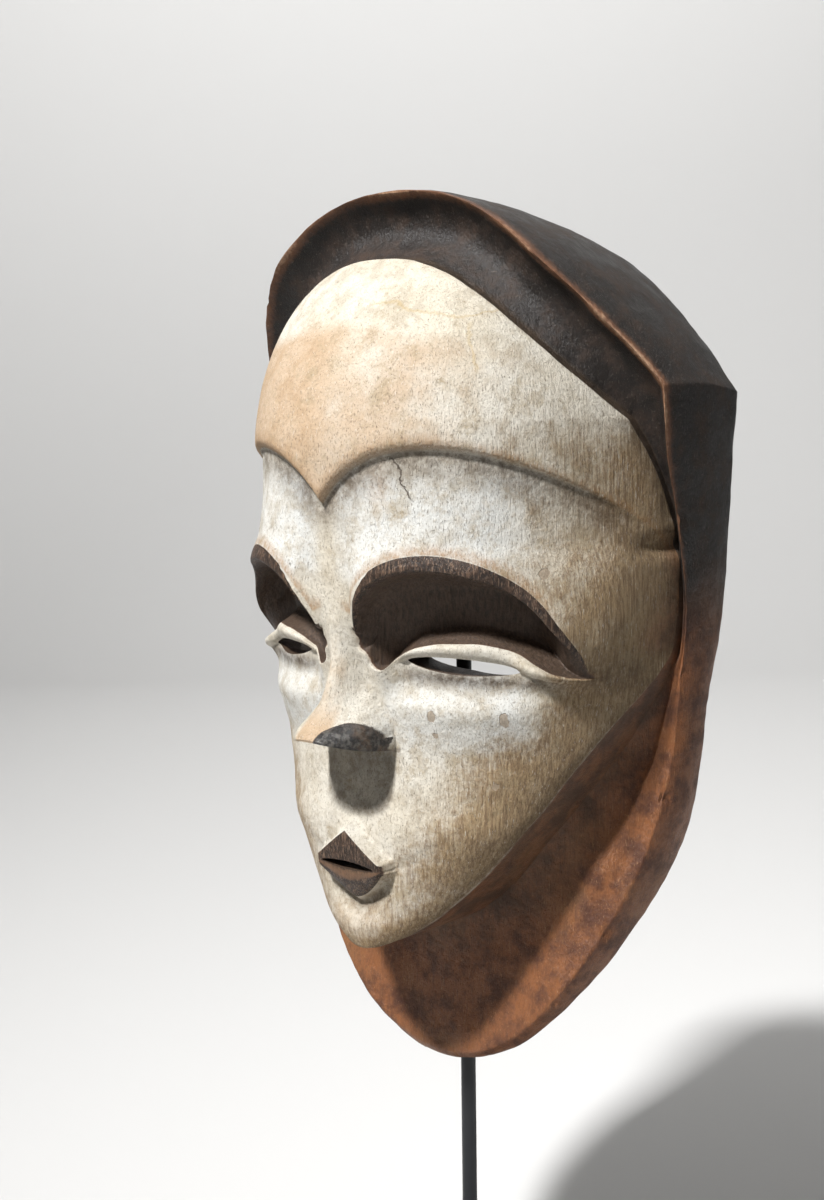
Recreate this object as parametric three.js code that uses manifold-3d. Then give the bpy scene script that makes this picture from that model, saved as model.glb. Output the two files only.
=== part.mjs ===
// A carved wooden face mask on a steel rod and foot plate, in millimetres, +Z up.
// The mask faces -Y, and +X is the mask's own left. The origin is the middle of the foot's underside.
// The mask is one solid: a white face in high relief, a hood and collar around it, and a hollow behind.
import * as THREE from 'three';
import { mergeVertices } from 'three/addons/utils/BufferGeometryUtils.js';
import Module from 'manifold-3d';

// Driving dimensions of the stand
const FOOT_SIDE = 160;
const FOOT_THICK = 10;
const FOOT_BEVEL = 1;
const ROD_RADIUS = 3;
const ROD_SIDES = 16;
const ROD_BEND_RADIUS = 14;
const ROD_ARM = { z: 262, tipY: -59, lean: 82 }; // the arm behind the forehead, z as on the mask
const MASK_LIFT = 138; // the collar's lowest edge above the floor
const TOUCH_GAP = 0.3; // between pieces that touch

// Driving dimensions of the mask, with z from the collar's lowest edge
const MASK_HEIGHT = 333;
const CORNER = { x: 99.3, z: 261 }; // where the hood's rim turns down at the temple
const JAW_WIDTH = { x: 88, z: 140 }; // where the straight sides end and the round bottom starts
const ARCH_POWER = 2.4; // how full the hood's arch is
const HAIRLINE = { top: 308, x: 82.3, z: 249, power: 2.25 }; // arch of the face's upper edge
const HAIRLINE_DEPTH = { top: -45, corner: -6, power: 4.3 };
const CHIN_ARC = { low: 52, x: 48, z: 89, power: 1.75 }; // round of the face's lower edge
const SOCKET = { x: 43.5, z: 166, wide: 36, high: 37.5, tilt: -0.06 };
const RIDGE_BAND = [1.5, 6.5]; // the raised edge over the eye, at its inner end and at its top
const BROW = { x: 38, z: 192, radius: 47, from: 36, to: 178, step: 2.4, cut: 2.8 };
const NOSE = { halfWidth: 17.5, length: 27.6, roundness: 2.3, tipZ: 133.3, wingZ: 129.2 };
const NOSE_FLARE = { from: 156, to: 138, under: 133 }; // heights where the bridge widens, to its underside
const LIPS = { halfWidth: 15.5, z: 85.5, up: 13.2, down: 13, out: 6.4, endX: 18.5 };
const EYE = { x: 43.1, z: 162.1, halfLength: 18.7, halfHeight: 3.1, tilt: -0.081 };
const TEMPLE = { from: 0.66, full: 0.9, hold: 0.93 }; // where the temples stand out, as shares of the width
const EDGE_CUT = 0.94; // the rounded section stops at this share, so it meets the face's edge at an angle
const MOUTH = { x: 0, z: LIPS.z, halfLength: 13.2, halfHeight: 1.6, tilt: 0 };
const WALL = 12; // thickness of the wood
const SIDE_BULGE = 0.02; // how far the side walls round outward, as a share of their distance
const FACE_CENTRE_Z = 190;
const HALF_COLUMNS = 20; // grid columns from the middle of the face to its edge

// Small maths helpers
const clamp = (v, low, high) => Math.min(high, Math.max(low, v));
const mix = (a, b, t) => a + (b - a) * t;

function smoothstep(from, to, v) {
  const t = clamp((v - from) / (to - from), 0, 1);
  return t * t * (3 - 2 * t);
}

// A smooth curve through [at, value] pairs that never overshoots them
function curve(pairs) {
  const last = pairs.length - 1;
  const slope = pairs.slice(1).map(([at, value], i) => (value - pairs[i][1]) / (at - pairs[i][0]));
  const tangent = pairs.map((pair, i) => {
    if (i === 0) return slope[0];
    if (i === last) return slope[last - 1];
    if (slope[i - 1] * slope[i] <= 0) return 0;
    const before = pairs[i][0] - pairs[i - 1][0];
    const after = pairs[i + 1][0] - pairs[i][0];
    const weightA = 2 * after + before;
    const weightB = after + 2 * before;
    return (weightA + weightB) / (weightA / slope[i - 1] + weightB / slope[i]);
  });
  return (at) => {
    const v = clamp(at, pairs[0][0], pairs[last][0]);
    let i = 0;
    while (i < last - 1 && v > pairs[i + 1][0]) i += 1;
    const span = pairs[i + 1][0] - pairs[i][0];
    const t = (v - pairs[i][0]) / span;
    const t2 = t * t;
    const t3 = t2 * t;
    return (2 * t3 - 3 * t2 + 1) * pairs[i][1] + (t3 - 2 * t2 + t) * span * tangent[i]
      + (3 * t2 - 2 * t3) * pairs[i + 1][1] + (t3 - t2) * span * tangent[i + 1];
  };
}

// The face's plain form: half its width, and the depth of its edge and of its middle, by height
const faceSide = curve([[89, 48], [96, 53.5], [111, 63], [126, 72], [139, 79], [148, 83], [156, 85.7],
  [165, 87], [181, 88.5], [200, 89], [215, 88], [237, 85.3], [249, 82.3]]);
const edgeDepthSide = curve([[52, -61.5], [57, -57], [71, -47.5], [89, -38.5], [96, -36], [111, -27.5],
  [126, -20], [139, -10], [148, 0.3], [156, 9.5], [165, 17], [181, 18], [200, 17], [215, 13],
  [237, 2], [249, -6]]);
const middleDepth = curve([[52, -61.5], [60, -63], [72, -62.5], [98, -63.5], [112, -61.8], [128, -61],
  [145, -62.5], [160, -66], [180, -73.5], [195, -76.5], [225, -79], [240, -79.5], [258, -76],
  [275, -69.5], [292, -59.5], [308, -46]]);
const roundness = curve([[52, 2.3], [96, 2.5], [111, 2.15], [126, 2.08], [139, 2.4], [150, 2.8],
  [165, 2.8], [195, 2.68], [207, 2.28], [250, 2.2], [308, 2.26]]);
const templeOut = curve([[146, 0], [152, 2.5], [158, 10], [165, 15], [171, 15.5], [178, 14], [186, 10],
  [195, 5], [204, 1], [212, 0]]);

function faceHalfWidth(z) {
  if (z > HAIRLINE.z) {
    const down = clamp((HAIRLINE.top - z) / (HAIRLINE.top - HAIRLINE.z), 0, 1);
    return HAIRLINE.x * down ** (1 / HAIRLINE.power);
  }
  if (z < CHIN_ARC.z) {
    const up = clamp((z - CHIN_ARC.low) / (CHIN_ARC.z - CHIN_ARC.low), 0, 1);
    return CHIN_ARC.x * up ** (1 / CHIN_ARC.power);
  }
  return faceSide(z);
}

function edgeDepth(z) {
  if (z <= HAIRLINE.z) return edgeDepthSide(z);
  const share = (faceHalfWidth(z) / HAIRLINE.x) ** HAIRLINE_DEPTH.power;
  return mix(HAIRLINE_DEPTH.top, HAIRLINE_DEPTH.corner, share);
}

// Share of the way back from the middle of a section to its edge, a rounded profile
function roundBack(share, power) {
  const s = clamp(Math.abs(share), 0, 1);
  return 1 - (1 - s ** power) ** (1 / power);
}

// A superellipse bulge, 1 in the middle of a range and 0 at both ends
function roundEnd(z, low, high, power) {
  return Math.sqrt(Math.max(0, 1 - Math.abs((2 * z - low - high) / (high - low)) ** power));
}

function plainFace(x, z) {
  const level = clamp(z, CHIN_ARC.low, HAIRLINE.top);
  const share = Math.abs(x) / Math.max(faceHalfWidth(level), 0.001);
  const temple = smoothstep(TEMPLE.from, TEMPLE.full, share) * (1 - smoothstep(TEMPLE.hold, 1, share));
  const power = roundness(level);
  const back = roundBack(share * EDGE_CUT, power) / roundBack(EDGE_CUT, power);
  return mix(middleDepth(level), edgeDepth(level), back) - templeOut(level) * temple;
}

// The nose by height: half its width, and its share of the full length
const noseWidth = curve([[133, 17.5], [137, 17.2], [142, 14.8], [150, 11.6], [160, 9.6], [172, 8.5],
  [182, 8]]);
const noseHeight = curve([[133, 1], [136, 0.96], [140, 0.777], [145.5, 0.64], [152.5, 0.48],
  [161.5, 0.265], [171, 0.113], [182, 0]]);

// How far the nose stands out: a narrow bridge above that flares into one broad, round tip below
function nose(x, z) {
  const s = clamp(Math.abs(x) / noseWidth(z), 0, 1);
  const bridge = Math.cos((s * Math.PI) / 2) ** 2;
  const tip = 1 - roundBack(s, NOSE.roundness);
  return NOSE.length * noseHeight(z) * mix(bridge, tip, smoothstep(NOSE_FLARE.from, NOSE_FLARE.to, z));
}

// The carving lines run from the middle of the face (u = 0) to its edge (u = 1), seen from the front
const hairline = (u) => [HAIRLINE.x * u, HAIRLINE.top - (HAIRLINE.top - HAIRLINE.z) * u ** HAIRLINE.power];
const jawline = (u) => [CHIN_ARC.x * u, CHIN_ARC.low + (CHIN_ARC.z - CHIN_ARC.low) * u ** CHIN_ARC.power];

function browArc(rise) {
  return (u) => {
    const angle = THREE.MathUtils.degToRad(mix(BROW.from, BROW.to, u));
    const x = Math.max(0, BROW.x - BROW.radius * Math.cos(angle));
    const z = BROW.z + BROW.radius * Math.sin(angle);
    return [Math.min(x, faceHalfWidth(z)), z + rise];
  };
}

// The eye socket's arch: an ellipse drawn in by `inset`, with a short lead from the middle and to the edge
function socketArc({ inset: [side, top], from, middleZ, tipZ, edgeZ }) {
  const lead = 0.1;
  const at = (degrees) => {
    const angle = THREE.MathUtils.degToRad(degrees);
    const inset = side * (0.65 + 0.35 * Math.cos(angle));
    const x = SOCKET.x - (SOCKET.wide - inset) * Math.cos(angle);
    const z = SOCKET.z + (SOCKET.high - top) * Math.sin(angle) + SOCKET.tilt * (x - SOCKET.x);
    return [x, z + (tipZ - SOCKET.z - SOCKET.tilt * SOCKET.wide) * smoothstep(110, 180, degrees)];
  };
  const start = at(from);
  const end = at(180);
  return (u) => {
    if (u < lead) return [mix(0, start[0], u / lead), mix(middleZ, start[1], (u / lead) ** 2)];
    if (u > 1 - lead) {
      const t = (u - 1 + lead) / lead;
      return [mix(end[0], faceHalfWidth(edgeZ), t), mix(end[1], edgeZ, t)];
    }
    return at(mix(from, 180, (u - lead) / (1 - 2 * lead)));
  };
}

function lineThrough(points, edgeZ) {
  const width = faceHalfWidth(edgeZ);
  const height = curve([...points, [width, edgeZ]]);
  return (u) => [width * u, height(width * u)];
}

function noseLine(rise, edgeZ) {
  const width = faceHalfWidth(edgeZ);
  return (u) => {
    const x = width * u;
    const under = NOSE.tipZ - (NOSE.tipZ - NOSE.wingZ) * clamp(x / NOSE.halfWidth, 0, 1) ** 2;
    return [x, mix(under + rise, edgeZ, smoothstep(NOSE.halfWidth, width, x))];
  };
}

// The mouth is a pouting block: each line has its own height in the middle and meets the others at the corner
const lipSpan = (x) => clamp(x / LIPS.halfWidth, 0, 1);
const lipBlock = (x) => 1 - smoothstep(LIPS.halfWidth - 0.5, LIPS.endX, x);
function lipLine(rise, corner, edgeZ, power = 1) {
  const width = faceHalfWidth(edgeZ);
  return (u) => {
    const x = width * u;
    const height = LIPS.z + mix(rise, corner, lipSpan(x) ** power);
    return [x, mix(height, edgeZ, smoothstep(LIPS.halfWidth * 0.9, width, x))];
  };
}

const fadeBrow = (x) => 1 - smoothstep(70, 87, x);
const within = (from, to, full, end) => (x) => smoothstep(from, to, x) * (1 - smoothstep(full, end, x));
const socketDeep = (x) => 0.62 * smoothstep(8, 19, x) + 0.38 * smoothstep(14, 40, x) - smoothstep(64, 82, x);
const ridge = within(7, 16, 56, 80);
const lidSpan = within(14, 23, 42, 78);
const mouthFold = (x) => 0.7 * within(14, 19, 24, 44)(x);

// Each line: its path, how far it stands out of the plain face, and the rows down to the next line
const LINES = [
  { path: hairline, out: () => 0, rows: 7 },
  { path: browArc(BROW.step), out: (x) => 1.2 * fadeBrow(x), rows: 1 },
  { path: browArc(0), out: (x) => -BROW.cut * fadeBrow(x), rows: 5, ease: (t) => t ** 1.8 },
  {
    path: socketArc({ inset: [0, 0], from: 20, middleZ: 183, tipZ: 161, edgeZ: 172 }),
    out: (x) => 3.0 * ridge(x), rows: 1,
  },
  {
    path: socketArc({ inset: RIDGE_BAND, from: 10, middleZ: 178, tipZ: 159.3, edgeZ: 166 }),
    out: (x) => 3.6 * ridge(x), rows: 1,
  },
  {
    path: socketArc({ inset: [2.2, 7.2], from: 9, middleZ: 176.5, tipZ: 158.8, edgeZ: 164 }),
    out: (x) => -11 * socketDeep(x), rows: 1,
  },
  {
    path: socketArc({ inset: [4.5, 13], from: 4, middleZ: 173, tipZ: 158.3, edgeZ: 162 }),
    out: (x) => -17.5 * socketDeep(x), rows: 3,
  },
  {
    path: lineThrough([[0, 168], [8, 166.6], [15, 160.9], [20, 168], [30, 175.6], [45, 177], [58, 172.5],
      [69, 164.5], [79.5, 157.6]], 160),
    out: (x) => -18 * socketDeep(x), rows: 2, ease: (t) => t * t * (3 - 2 * t),
  },
  {
    path: lineThrough([[0, 164], [8, 162.8], [15, 159.3], [21.3, 164.6], [30, 168.4], [39, 170.1],
      [49, 170.3], [57, 168.5], [69, 162.3], [79.5, 157]], 158),
    out: (x) => -6 * lidSpan(x), rows: 2,
  },
  {
    path: lineThrough([[0, 160], [14, 158.2], [21.3, 162.4], [25, 163.5], [43, 162.3], [61, 160.3], [70, 158],
      [79.5, 155.5]], 156),
    out: (x) => -6.6 * lidSpan(x), rows: 2,
  },
  {
    path: lineThrough([[0, 155], [14, 155], [25, 156], [43, 155], [62, 153.6], [79.5, 152]], 152.6),
    out: (x) => -5.2 * lidSpan(x), rows: 2, ease: (t) => t * t * (3 - 2 * t),
  },
  {
    path: lineThrough([[0, 148], [25, 145], [50, 143.5], [70, 143.5]], 144),
    out: (x) => 0.8 * within(20, 40, 60, 80)(x), rows: 3,
  },
  { path: noseLine(1.2, 129), out: () => 0, rows: 1, noseEnds: true },
  { path: noseLine(0, 126.5), out: () => 0, rows: 3 },
  { path: lipLine(LIPS.up + 4.6, 4, 113), out: () => 0.2, rows: 1 },
  { path: lipLine(LIPS.up, 1.6, 110), out: (x) => LIPS.out * lipBlock(x) - 0.5 * mouthFold(x), rows: 1 },
  {
    path: lipLine(0, 0, 104.5),
    out: (x) => mix(LIPS.out - 0.8, LIPS.out, lipSpan(x)) * lipBlock(x) - mouthFold(x),
    rows: 2, ease: (t) => t * t,
  },
  {
    path: lipLine(-LIPS.down, -1.6, 99, 1.5),
    out: (x) => mix(1.8, LIPS.out, lipSpan(x) ** 2) * lipBlock(x) - 0.4 * mouthFold(x),
    rows: 1,
  },
  {
    path: lipLine(-LIPS.down - 2.2, -3.4, 96.5, 1.5),
    out: (x) => -2.6 * (1 - smoothstep(5, 20, x)), rows: 2,
  },
  {
    path: lineThrough([[0, 61.5], [20, 66], [35, 76]], 92.5),
    out: (x) => 1.2 * (1 - smoothstep(10, 34, x)), rows: 2,
  },
  { path: jawline, out: () => 0, rows: 1 },
];

// Columns stand closer together at the nose and at the face's edge
const columnSpread = curve([[0, 0], [0.3, 0.23], [0.75, 0.82], [0.9, 0.957], [1, 1]]);

// One row of the face from its middle to its edge, on the way from one line to the next
function faceRow(line, next, t) {
  const eased = line.ease ? line.ease(t) : t;
  const row = [];
  for (let j = 0; j <= HALF_COLUMNS; j += 1) {
    const u = columnSpread(j / HALF_COLUMNS);
    const [x0, z0] = line.path(u);
    const [x1, z1] = next.path(u);
    row.push([mix(x0, x1, t), mix(z0, z1, t), mix(line.out(x0), next.out(x1), eased)]);
  }
  const [lastX, lastZ] = row[HALF_COLUMNS];
  const onEdge = faceHalfWidth(clamp(lastZ, CHIN_ARC.low, HAIRLINE.top)) / lastX;
  return row.map(([x, z, out]) => [x * onEdge, z, out]);
}

// The whole front of the face: rows of points from the mask's right edge to its left edge
function faceRows() {
  const rows = [];
  let hasNose = true;
  LINES.forEach((line, k) => {
    const next = LINES[k + 1] ?? line;
    for (let i = 0; i < line.rows; i += 1) {
      const half = faceRow(line, next, i / line.rows).map(([x, z, out]) => {
        const noseOut = hasNose ? nose(x, line.noseEnds ? Math.max(z, NOSE_FLARE.under) : z) : 0;
        return new THREE.Vector3(x, plainFace(x, z) - out - noseOut, z);
      });
      const mirrored = half.slice(1).reverse().map((p) => new THREE.Vector3(-p.x, p.y, p.z));
      rows.push([...mirrored, ...half]);
    }
    if (line.noseEnds) hasNose = false;
  });
  return rows;
}

// The mask's outline seen from the front: an arch over straight sides and a round bottom
function outlineHalfWidth(z) {
  if (z > CORNER.z) {
    return CORNER.x * clamp((MASK_HEIGHT - z) / (MASK_HEIGHT - CORNER.z), 0, 1) ** (1 / ARCH_POWER);
  }
  if (z > JAW_WIDTH.z) return mix(JAW_WIDTH.x, CORNER.x, (z - JAW_WIDTH.z) / (CORNER.z - JAW_WIDTH.z));
  return JAW_WIDTH.x * Math.sqrt(Math.max(0, 1 - ((JAW_WIDTH.z - z) / JAW_WIDTH.z) ** 2));
}

// Depth of the front rim and of the back edge by height, and how far the frame starts behind the face's edge
const rimDepth = curve([[0, -19], [28, -16], [57, -5], [90, 8], [140, 18], [170, 19], [210, 8], [240, -4],
  [261, -9], [290, -28], [312, -39.5], [333, -40]]);
const backDepth = curve([[0, -9], [12, -6], [27, 1], [44, 10], [65, 23], [91, 34], [138, 38.5], [183, 45],
  [240, 42], [333, 40]]);
const frameStep = curve([[52, 47], [71, 37], [89, 29], [107, 27.5], [125, 27], [143, 18], [152, 11], [160, 6],
  [181, 3], [215, 3], [249, 4.5], [308, 4]]);
const frameHollow = curve([[52, 1], [89, 3], [125, 2], [160, 0.5], [215, 1], [249, 5], [285, 9], [308, 9.5]]);

// The point of the outline in the same direction from the face's centre as (x, z)
function outlineToward(x, z) {
  let near = 0;
  let far = 4;
  for (let i = 0; i < 40; i += 1) {
    const scale = (near + far) / 2;
    const height = FACE_CENTRE_Z + (z - FACE_CENTRE_Z) * scale;
    const inside = height > 0 && height < MASK_HEIGHT && Math.abs(x) * scale < outlineHalfWidth(height);
    if (inside) near = scale;
    else far = scale;
  }
  return [x * near, FACE_CENTRE_Z + (z - FACE_CENTRE_Z) * near];
}

// The back edge lies lower than the rim by this much: most at the top, nothing below the temples
const BACK_DROP = { top: 12, corner: 3, power: 3, from: 200 };
function backDrop(x, z) {
  if (z < CORNER.z) return BACK_DROP.corner * smoothstep(BACK_DROP.from, CORNER.z, z);
  return mix(BACK_DROP.top, BACK_DROP.corner, (Math.abs(x) / CORNER.x) ** BACK_DROP.power);
}

// The back of the collar: flat against the rod in the middle, rising to the back edge at the sides
function backSheet(x, z) {
  const width = Math.max(outlineHalfWidth(clamp(z, 1, MASK_HEIGHT - 1)), 1);
  const middle = mix(-ROD_RADIUS - TOUCH_GAP, backDepth(z) - 3, smoothstep(69, 125, z));
  const low = mix(middle, backDepth(0), 1 - smoothstep(0, 14, z));
  return mix(low, backDepth(z), clamp(Math.abs(x) / width, 0, 1) ** 2.2);
}

// Rings from the face's edge over the frame and rim, along the side wall and in over the back
function ringsAround(edge) {
  const frame = [0, 0.18, 0.42, 0.66, 0.86, 1];
  const wall = [0.12, 0.5, 1];
  const back = [0.86, 0.64, 0.3];
  const rings = [];
  const spots = edge.map((p) => {
    const [x, z] = outlineToward(p.x, p.z);
    return { p, x, z, start: p.y + frameStep(p.z), rim: rimDepth(z) };
  });
  frame.forEach((t) => rings.push(spots.map(({ p, x, z, start, rim }) => new THREE.Vector3(
    mix(p.x, x, t),
    mix(start, rim, t) + frameHollow(p.z) * 4 * t * (1 - t),
    mix(p.z, z, t),
  ))));
  wall.forEach((t) => rings.push(spots.map(({ x, z, rim }) => {
    const bulge = 1 + SIDE_BULGE * 4 * t * (1 - t);
    const height = FACE_CENTRE_Z + (z - FACE_CENTRE_Z) * bulge - backDrop(x, z) * t;
    return new THREE.Vector3(x * bulge, mix(rim, backDepth(z), t), height);
  })));
  back.forEach((share) => rings.push(spots.map(({ x, z }) => {
    const height = FACE_CENTRE_Z + (z - backDrop(x, z) - FACE_CENTRE_Z) * share;
    return new THREE.Vector3(x * share, backSheet(x * share, height), height);
  })));
  return rings;
}

// Turns lists of corner indices into one closed geometry, leaving out triangles that have no area
function closedGeometry(points, triangles) {
  const geometry = new THREE.BufferGeometry();
  geometry.setFromPoints(points);
  geometry.setIndex(triangles.flat());
  const merged = mergeVertices(geometry, 1e-3);
  const index = merged.index.array;
  const kept = [];
  for (let i = 0; i < index.length; i += 3) {
    const [a, b, c] = [index[i], index[i + 1], index[i + 2]];
    if (a !== b && b !== c && c !== a) kept.push(a, b, c);
  }
  merged.setIndex(kept);
  return merged;
}

// The block: face, frame, side wall and a back that the hollow will open
function blockGeometry() {
  const rows = faceRows();
  const columns = rows[0].length;
  const points = rows.flat();
  const triangles = [];
  const at = (i, j) => i * columns + j;
  for (let i = 0; i < rows.length - 1; i += 1) {
    for (let j = 0; j < columns - 1; j += 1) {
      const [a, b, c, d] = [at(i, j), at(i + 1, j), at(i + 1, j + 1), at(i, j + 1)];
      if (j < HALF_COLUMNS) triangles.push([a, b, d], [b, c, d]);
      else triangles.push([a, b, c], [a, c, d]);
    }
  }
  const last = rows.length - 1;
  const loop = [];
  for (let j = 0; j < columns; j += 1) loop.push(at(0, j));
  for (let i = 1; i < last; i += 1) loop.push(at(i, columns - 1));
  for (let j = columns - 1; j >= 0; j -= 1) loop.push(at(last, j));
  for (let i = last - 1; i > 0; i -= 1) loop.push(at(i, 0));
  let inner = loop;
  ringsAround(loop.map((n) => points[n])).forEach((ring) => {
    const first = points.length;
    points.push(...ring);
    const outer = ring.map((_, n) => first + n);
    inner.forEach((a, n) => {
      const m = (n + 1) % inner.length;
      triangles.push([a, inner[m], outer[m]], [a, outer[m], outer[n]]);
    });
    inner = outer;
  });
  const centre = points.length;
  points.push(new THREE.Vector3(0, backSheet(0, FACE_CENTRE_Z), FACE_CENTRE_Z));
  inner.forEach((a, n) => triangles.push([a, inner[(n + 1) % inner.length], centre]));
  return closedGeometry(points, triangles);
}

// A closed tool between a grid of front points and a flat back: columns by rows of [x, y, z]
function toolGeometry(columns, rows, front, backY) {
  const points = [];
  for (let i = 0; i <= rows; i += 1) {
    for (let j = 0; j <= columns; j += 1) {
      points.push(front(mix(-1, 1, j / columns), i / rows));
    }
  }
  const half = points.length;
  points.push(...points.map((p) => new THREE.Vector3(p.x, backY, p.z)));
  const at = (i, j) => i * (columns + 1) + j;
  const triangles = [];
  const wall = (a, b) => triangles.push([a, b + half, a + half], [a, b, b + half]);
  for (let i = 0; i < rows; i += 1) {
    for (let j = 0; j < columns; j += 1) {
      const [a, b, c, d] = [at(i, j), at(i + 1, j), at(i + 1, j + 1), at(i, j + 1)];
      triangles.push([a, d, b], [b, d, c], [a + half, b + half, d + half], [b + half, c + half, d + half]);
    }
    wall(at(i, 0), at(i + 1, 0));
    wall(at(i + 1, columns), at(i, columns));
  }
  for (let j = 0; j < columns; j += 1) {
    wall(at(0, j + 1), at(0, j));
    wall(at(rows, j), at(rows, j + 1));
  }
  return closedGeometry(points, triangles);
}

// The deep part of the hollow follows the face at the wall's thickness, and keeps back from the sockets
const BEYOND_BACK = 70;
const HOLLOW_GRID = 18;
const BEHIND_SOCKET = { x: 42, z: 180, deep: 24, wide: 25, high: 17 };
function faceHollow() {
  const low = CHIN_ARC.low + WALL;
  const high = HAIRLINE.top - WALL;
  const sideY = 20;
  return toolGeometry(HOLLOW_GRID, HOLLOW_GRID, (side, t) => {
    const z = mix(low, high, (1 - Math.cos(Math.PI * t)) / 2);
    const width = Math.max(0, faceHalfWidth(z) - WALL) * roundEnd(z, low, high, 5);
    const x = width * Math.sin((side * Math.PI) / 2);
    const share = width > 0 ? x / width : 0;
    const aside = (Math.abs(x) - BEHIND_SOCKET.x) / BEHIND_SOCKET.wide;
    const above = (z - BEHIND_SOCKET.z) / BEHIND_SOCKET.high;
    const socket = BEHIND_SOCKET.deep * Math.exp(-(aside ** 2) - above ** 2) * (1 - Math.abs(share) ** 4);
    return new THREE.Vector3(x, mix(middleDepth(z) + WALL, sideY, roundBack(share, 2.6)) + socket, z);
  }, BEYOND_BACK);
}

// The wide part of the hollow leaves the hood, the sides and the collar at the wall's thickness
function backHollow() {
  const [low, high, sideY] = [86, 311, 38];
  const bowl = curve([[low, 36], [96, 16], [130, 10], [170, 0], [210, -8], [250, -14], [285, -16],
    [300, -14], [307, -6], [high, 12]]);
  return toolGeometry(HOLLOW_GRID - 2, HOLLOW_GRID - 2, (side, t) => {
    const z = mix(low, high, (1 - Math.cos(Math.PI * t)) / 2);
    const width = (outlineHalfWidth(z) - WALL) * roundEnd(z, low, high, 8);
    const x = width * Math.sin((side * Math.PI) / 2);
    return new THREE.Vector3(x, mix(bowl(z), sideY, roundBack(width > 0 ? x / width : 0, 3.5)), z);
  }, BEYOND_BACK);
}

// A lens-shaped slit through sections of [depth, width factor, height factor], wider toward the hollow
function slitTool({ x, z, halfLength, halfHeight, tilt }, sections) {
  const sides = 14;
  const points = [];
  const triangles = [];
  sections.forEach(([y, wider, higher]) => {
    for (let i = 0; i < sides; i += 1) {
      const angle = (2 * Math.PI * i) / sides;
      const along = halfLength * wider * Math.cos(angle);
      const up = halfHeight * higher * Math.sin(angle) * Math.abs(Math.sin(angle)) ** 0.35;
      points.push(new THREE.Vector3(x + along, y, z + up + tilt * along));
    }
  });
  for (let k = 0; k < sections.length - 1; k += 1) {
    for (let i = 0; i < sides; i += 1) {
      const [a, b] = [k * sides + i, k * sides + ((i + 1) % sides)];
      triangles.push([a, a + sides, b], [b, a + sides, b + sides]);
    }
  }
  const end = (sections.length - 1) * sides;
  for (let i = 1; i < sides - 1; i += 1) {
    triangles.push([0, i, i + 1], [end, end + i + 1, end + i]);
  }
  return closedGeometry(points, triangles);
}

// The rod rises straight, bends forward and ends against the inside of the forehead
function rodGeometry() {
  const bendSteps = 10;
  const armZ = MASK_LIFT + ROD_ARM.z;
  const armTilt = THREE.MathUtils.degToRad(ROD_ARM.lean);
  const path = [{ y: 0, z: FOOT_THICK + TOUCH_GAP, lean: 0 }];
  for (let i = 0; i <= bendSteps; i += 1) {
    const lean = (armTilt * i) / bendSteps;
    path.push({
      y: -ROD_BEND_RADIUS * (1 - Math.cos(lean)),
      z: armZ - ROD_BEND_RADIUS * (1 - Math.sin(lean)),
      lean,
    });
  }
  const bent = path[path.length - 1];
  path.push({
    y: ROD_ARM.tipY,
    z: bent.z + (bent.y - ROD_ARM.tipY) / Math.tan(armTilt),
    lean: armTilt,
  });
  const points = [];
  path.forEach(({ y, z, lean }) => {
    for (let i = 0; i < ROD_SIDES; i += 1) {
      const angle = (2 * Math.PI * i) / ROD_SIDES;
      const across = ROD_RADIUS * Math.sin(angle);
      const ring = [ROD_RADIUS * Math.cos(angle), y + across * Math.cos(lean), z + across * Math.sin(lean)];
      points.push(new THREE.Vector3(...ring));
    }
  });
  const triangles = [];
  const end = (path.length - 1) * ROD_SIDES;
  for (let first = 0; first < end; first += ROD_SIDES) {
    for (let i = 0; i < ROD_SIDES; i += 1) {
      const [a, b] = [first + i, first + ((i + 1) % ROD_SIDES)];
      triangles.push([a, b, b + ROD_SIDES], [a, b + ROD_SIDES, a + ROD_SIDES]);
    }
  }
  for (let i = 1; i < ROD_SIDES - 1; i += 1) {
    triangles.push([0, i + 1, i], [end, end + i, end + i + 1]);
  }
  return closedGeometry(points, triangles);
}

function footGeometry() {
  const side = FOOT_SIDE / 2 - FOOT_BEVEL;
  const plate = new THREE.Shape();
  plate.moveTo(-side, -side);
  plate.lineTo(side, -side);
  plate.lineTo(side, side);
  plate.lineTo(-side, side);
  plate.closePath();
  const geometry = new THREE.ExtrudeGeometry(plate, {
    depth: FOOT_THICK - 2 * FOOT_BEVEL,
    bevelThickness: FOOT_BEVEL,
    bevelSize: FOOT_BEVEL,
    bevelSegments: 1,
  });
  return geometry.translate(0, 0, FOOT_BEVEL);
}

// Joining and cutting of closed meshes
const wasm = await Module();
wasm.setup();

function toSolid(geometry) {
  const plain = geometry.clone();
  plain.deleteAttribute('normal');
  plain.deleteAttribute('uv');
  const merged = mergeVertices(plain, 1e-4);
  return new wasm.Manifold(new wasm.Mesh({
    numProp: 3,
    vertProperties: new Float32Array(merged.attributes.position.array),
    triVerts: new Uint32Array(merged.index.array),
  }));
}

function toGeometry(solid) {
  const mesh = solid.getMesh();
  const geometry = new THREE.BufferGeometry();
  geometry.setAttribute('position', new THREE.BufferAttribute(new Float32Array(mesh.vertProperties), 3));
  geometry.setIndex(new THREE.BufferAttribute(new Uint32Array(mesh.triVerts), 1));
  geometry.computeVertexNormals();
  return geometry;
}

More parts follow.
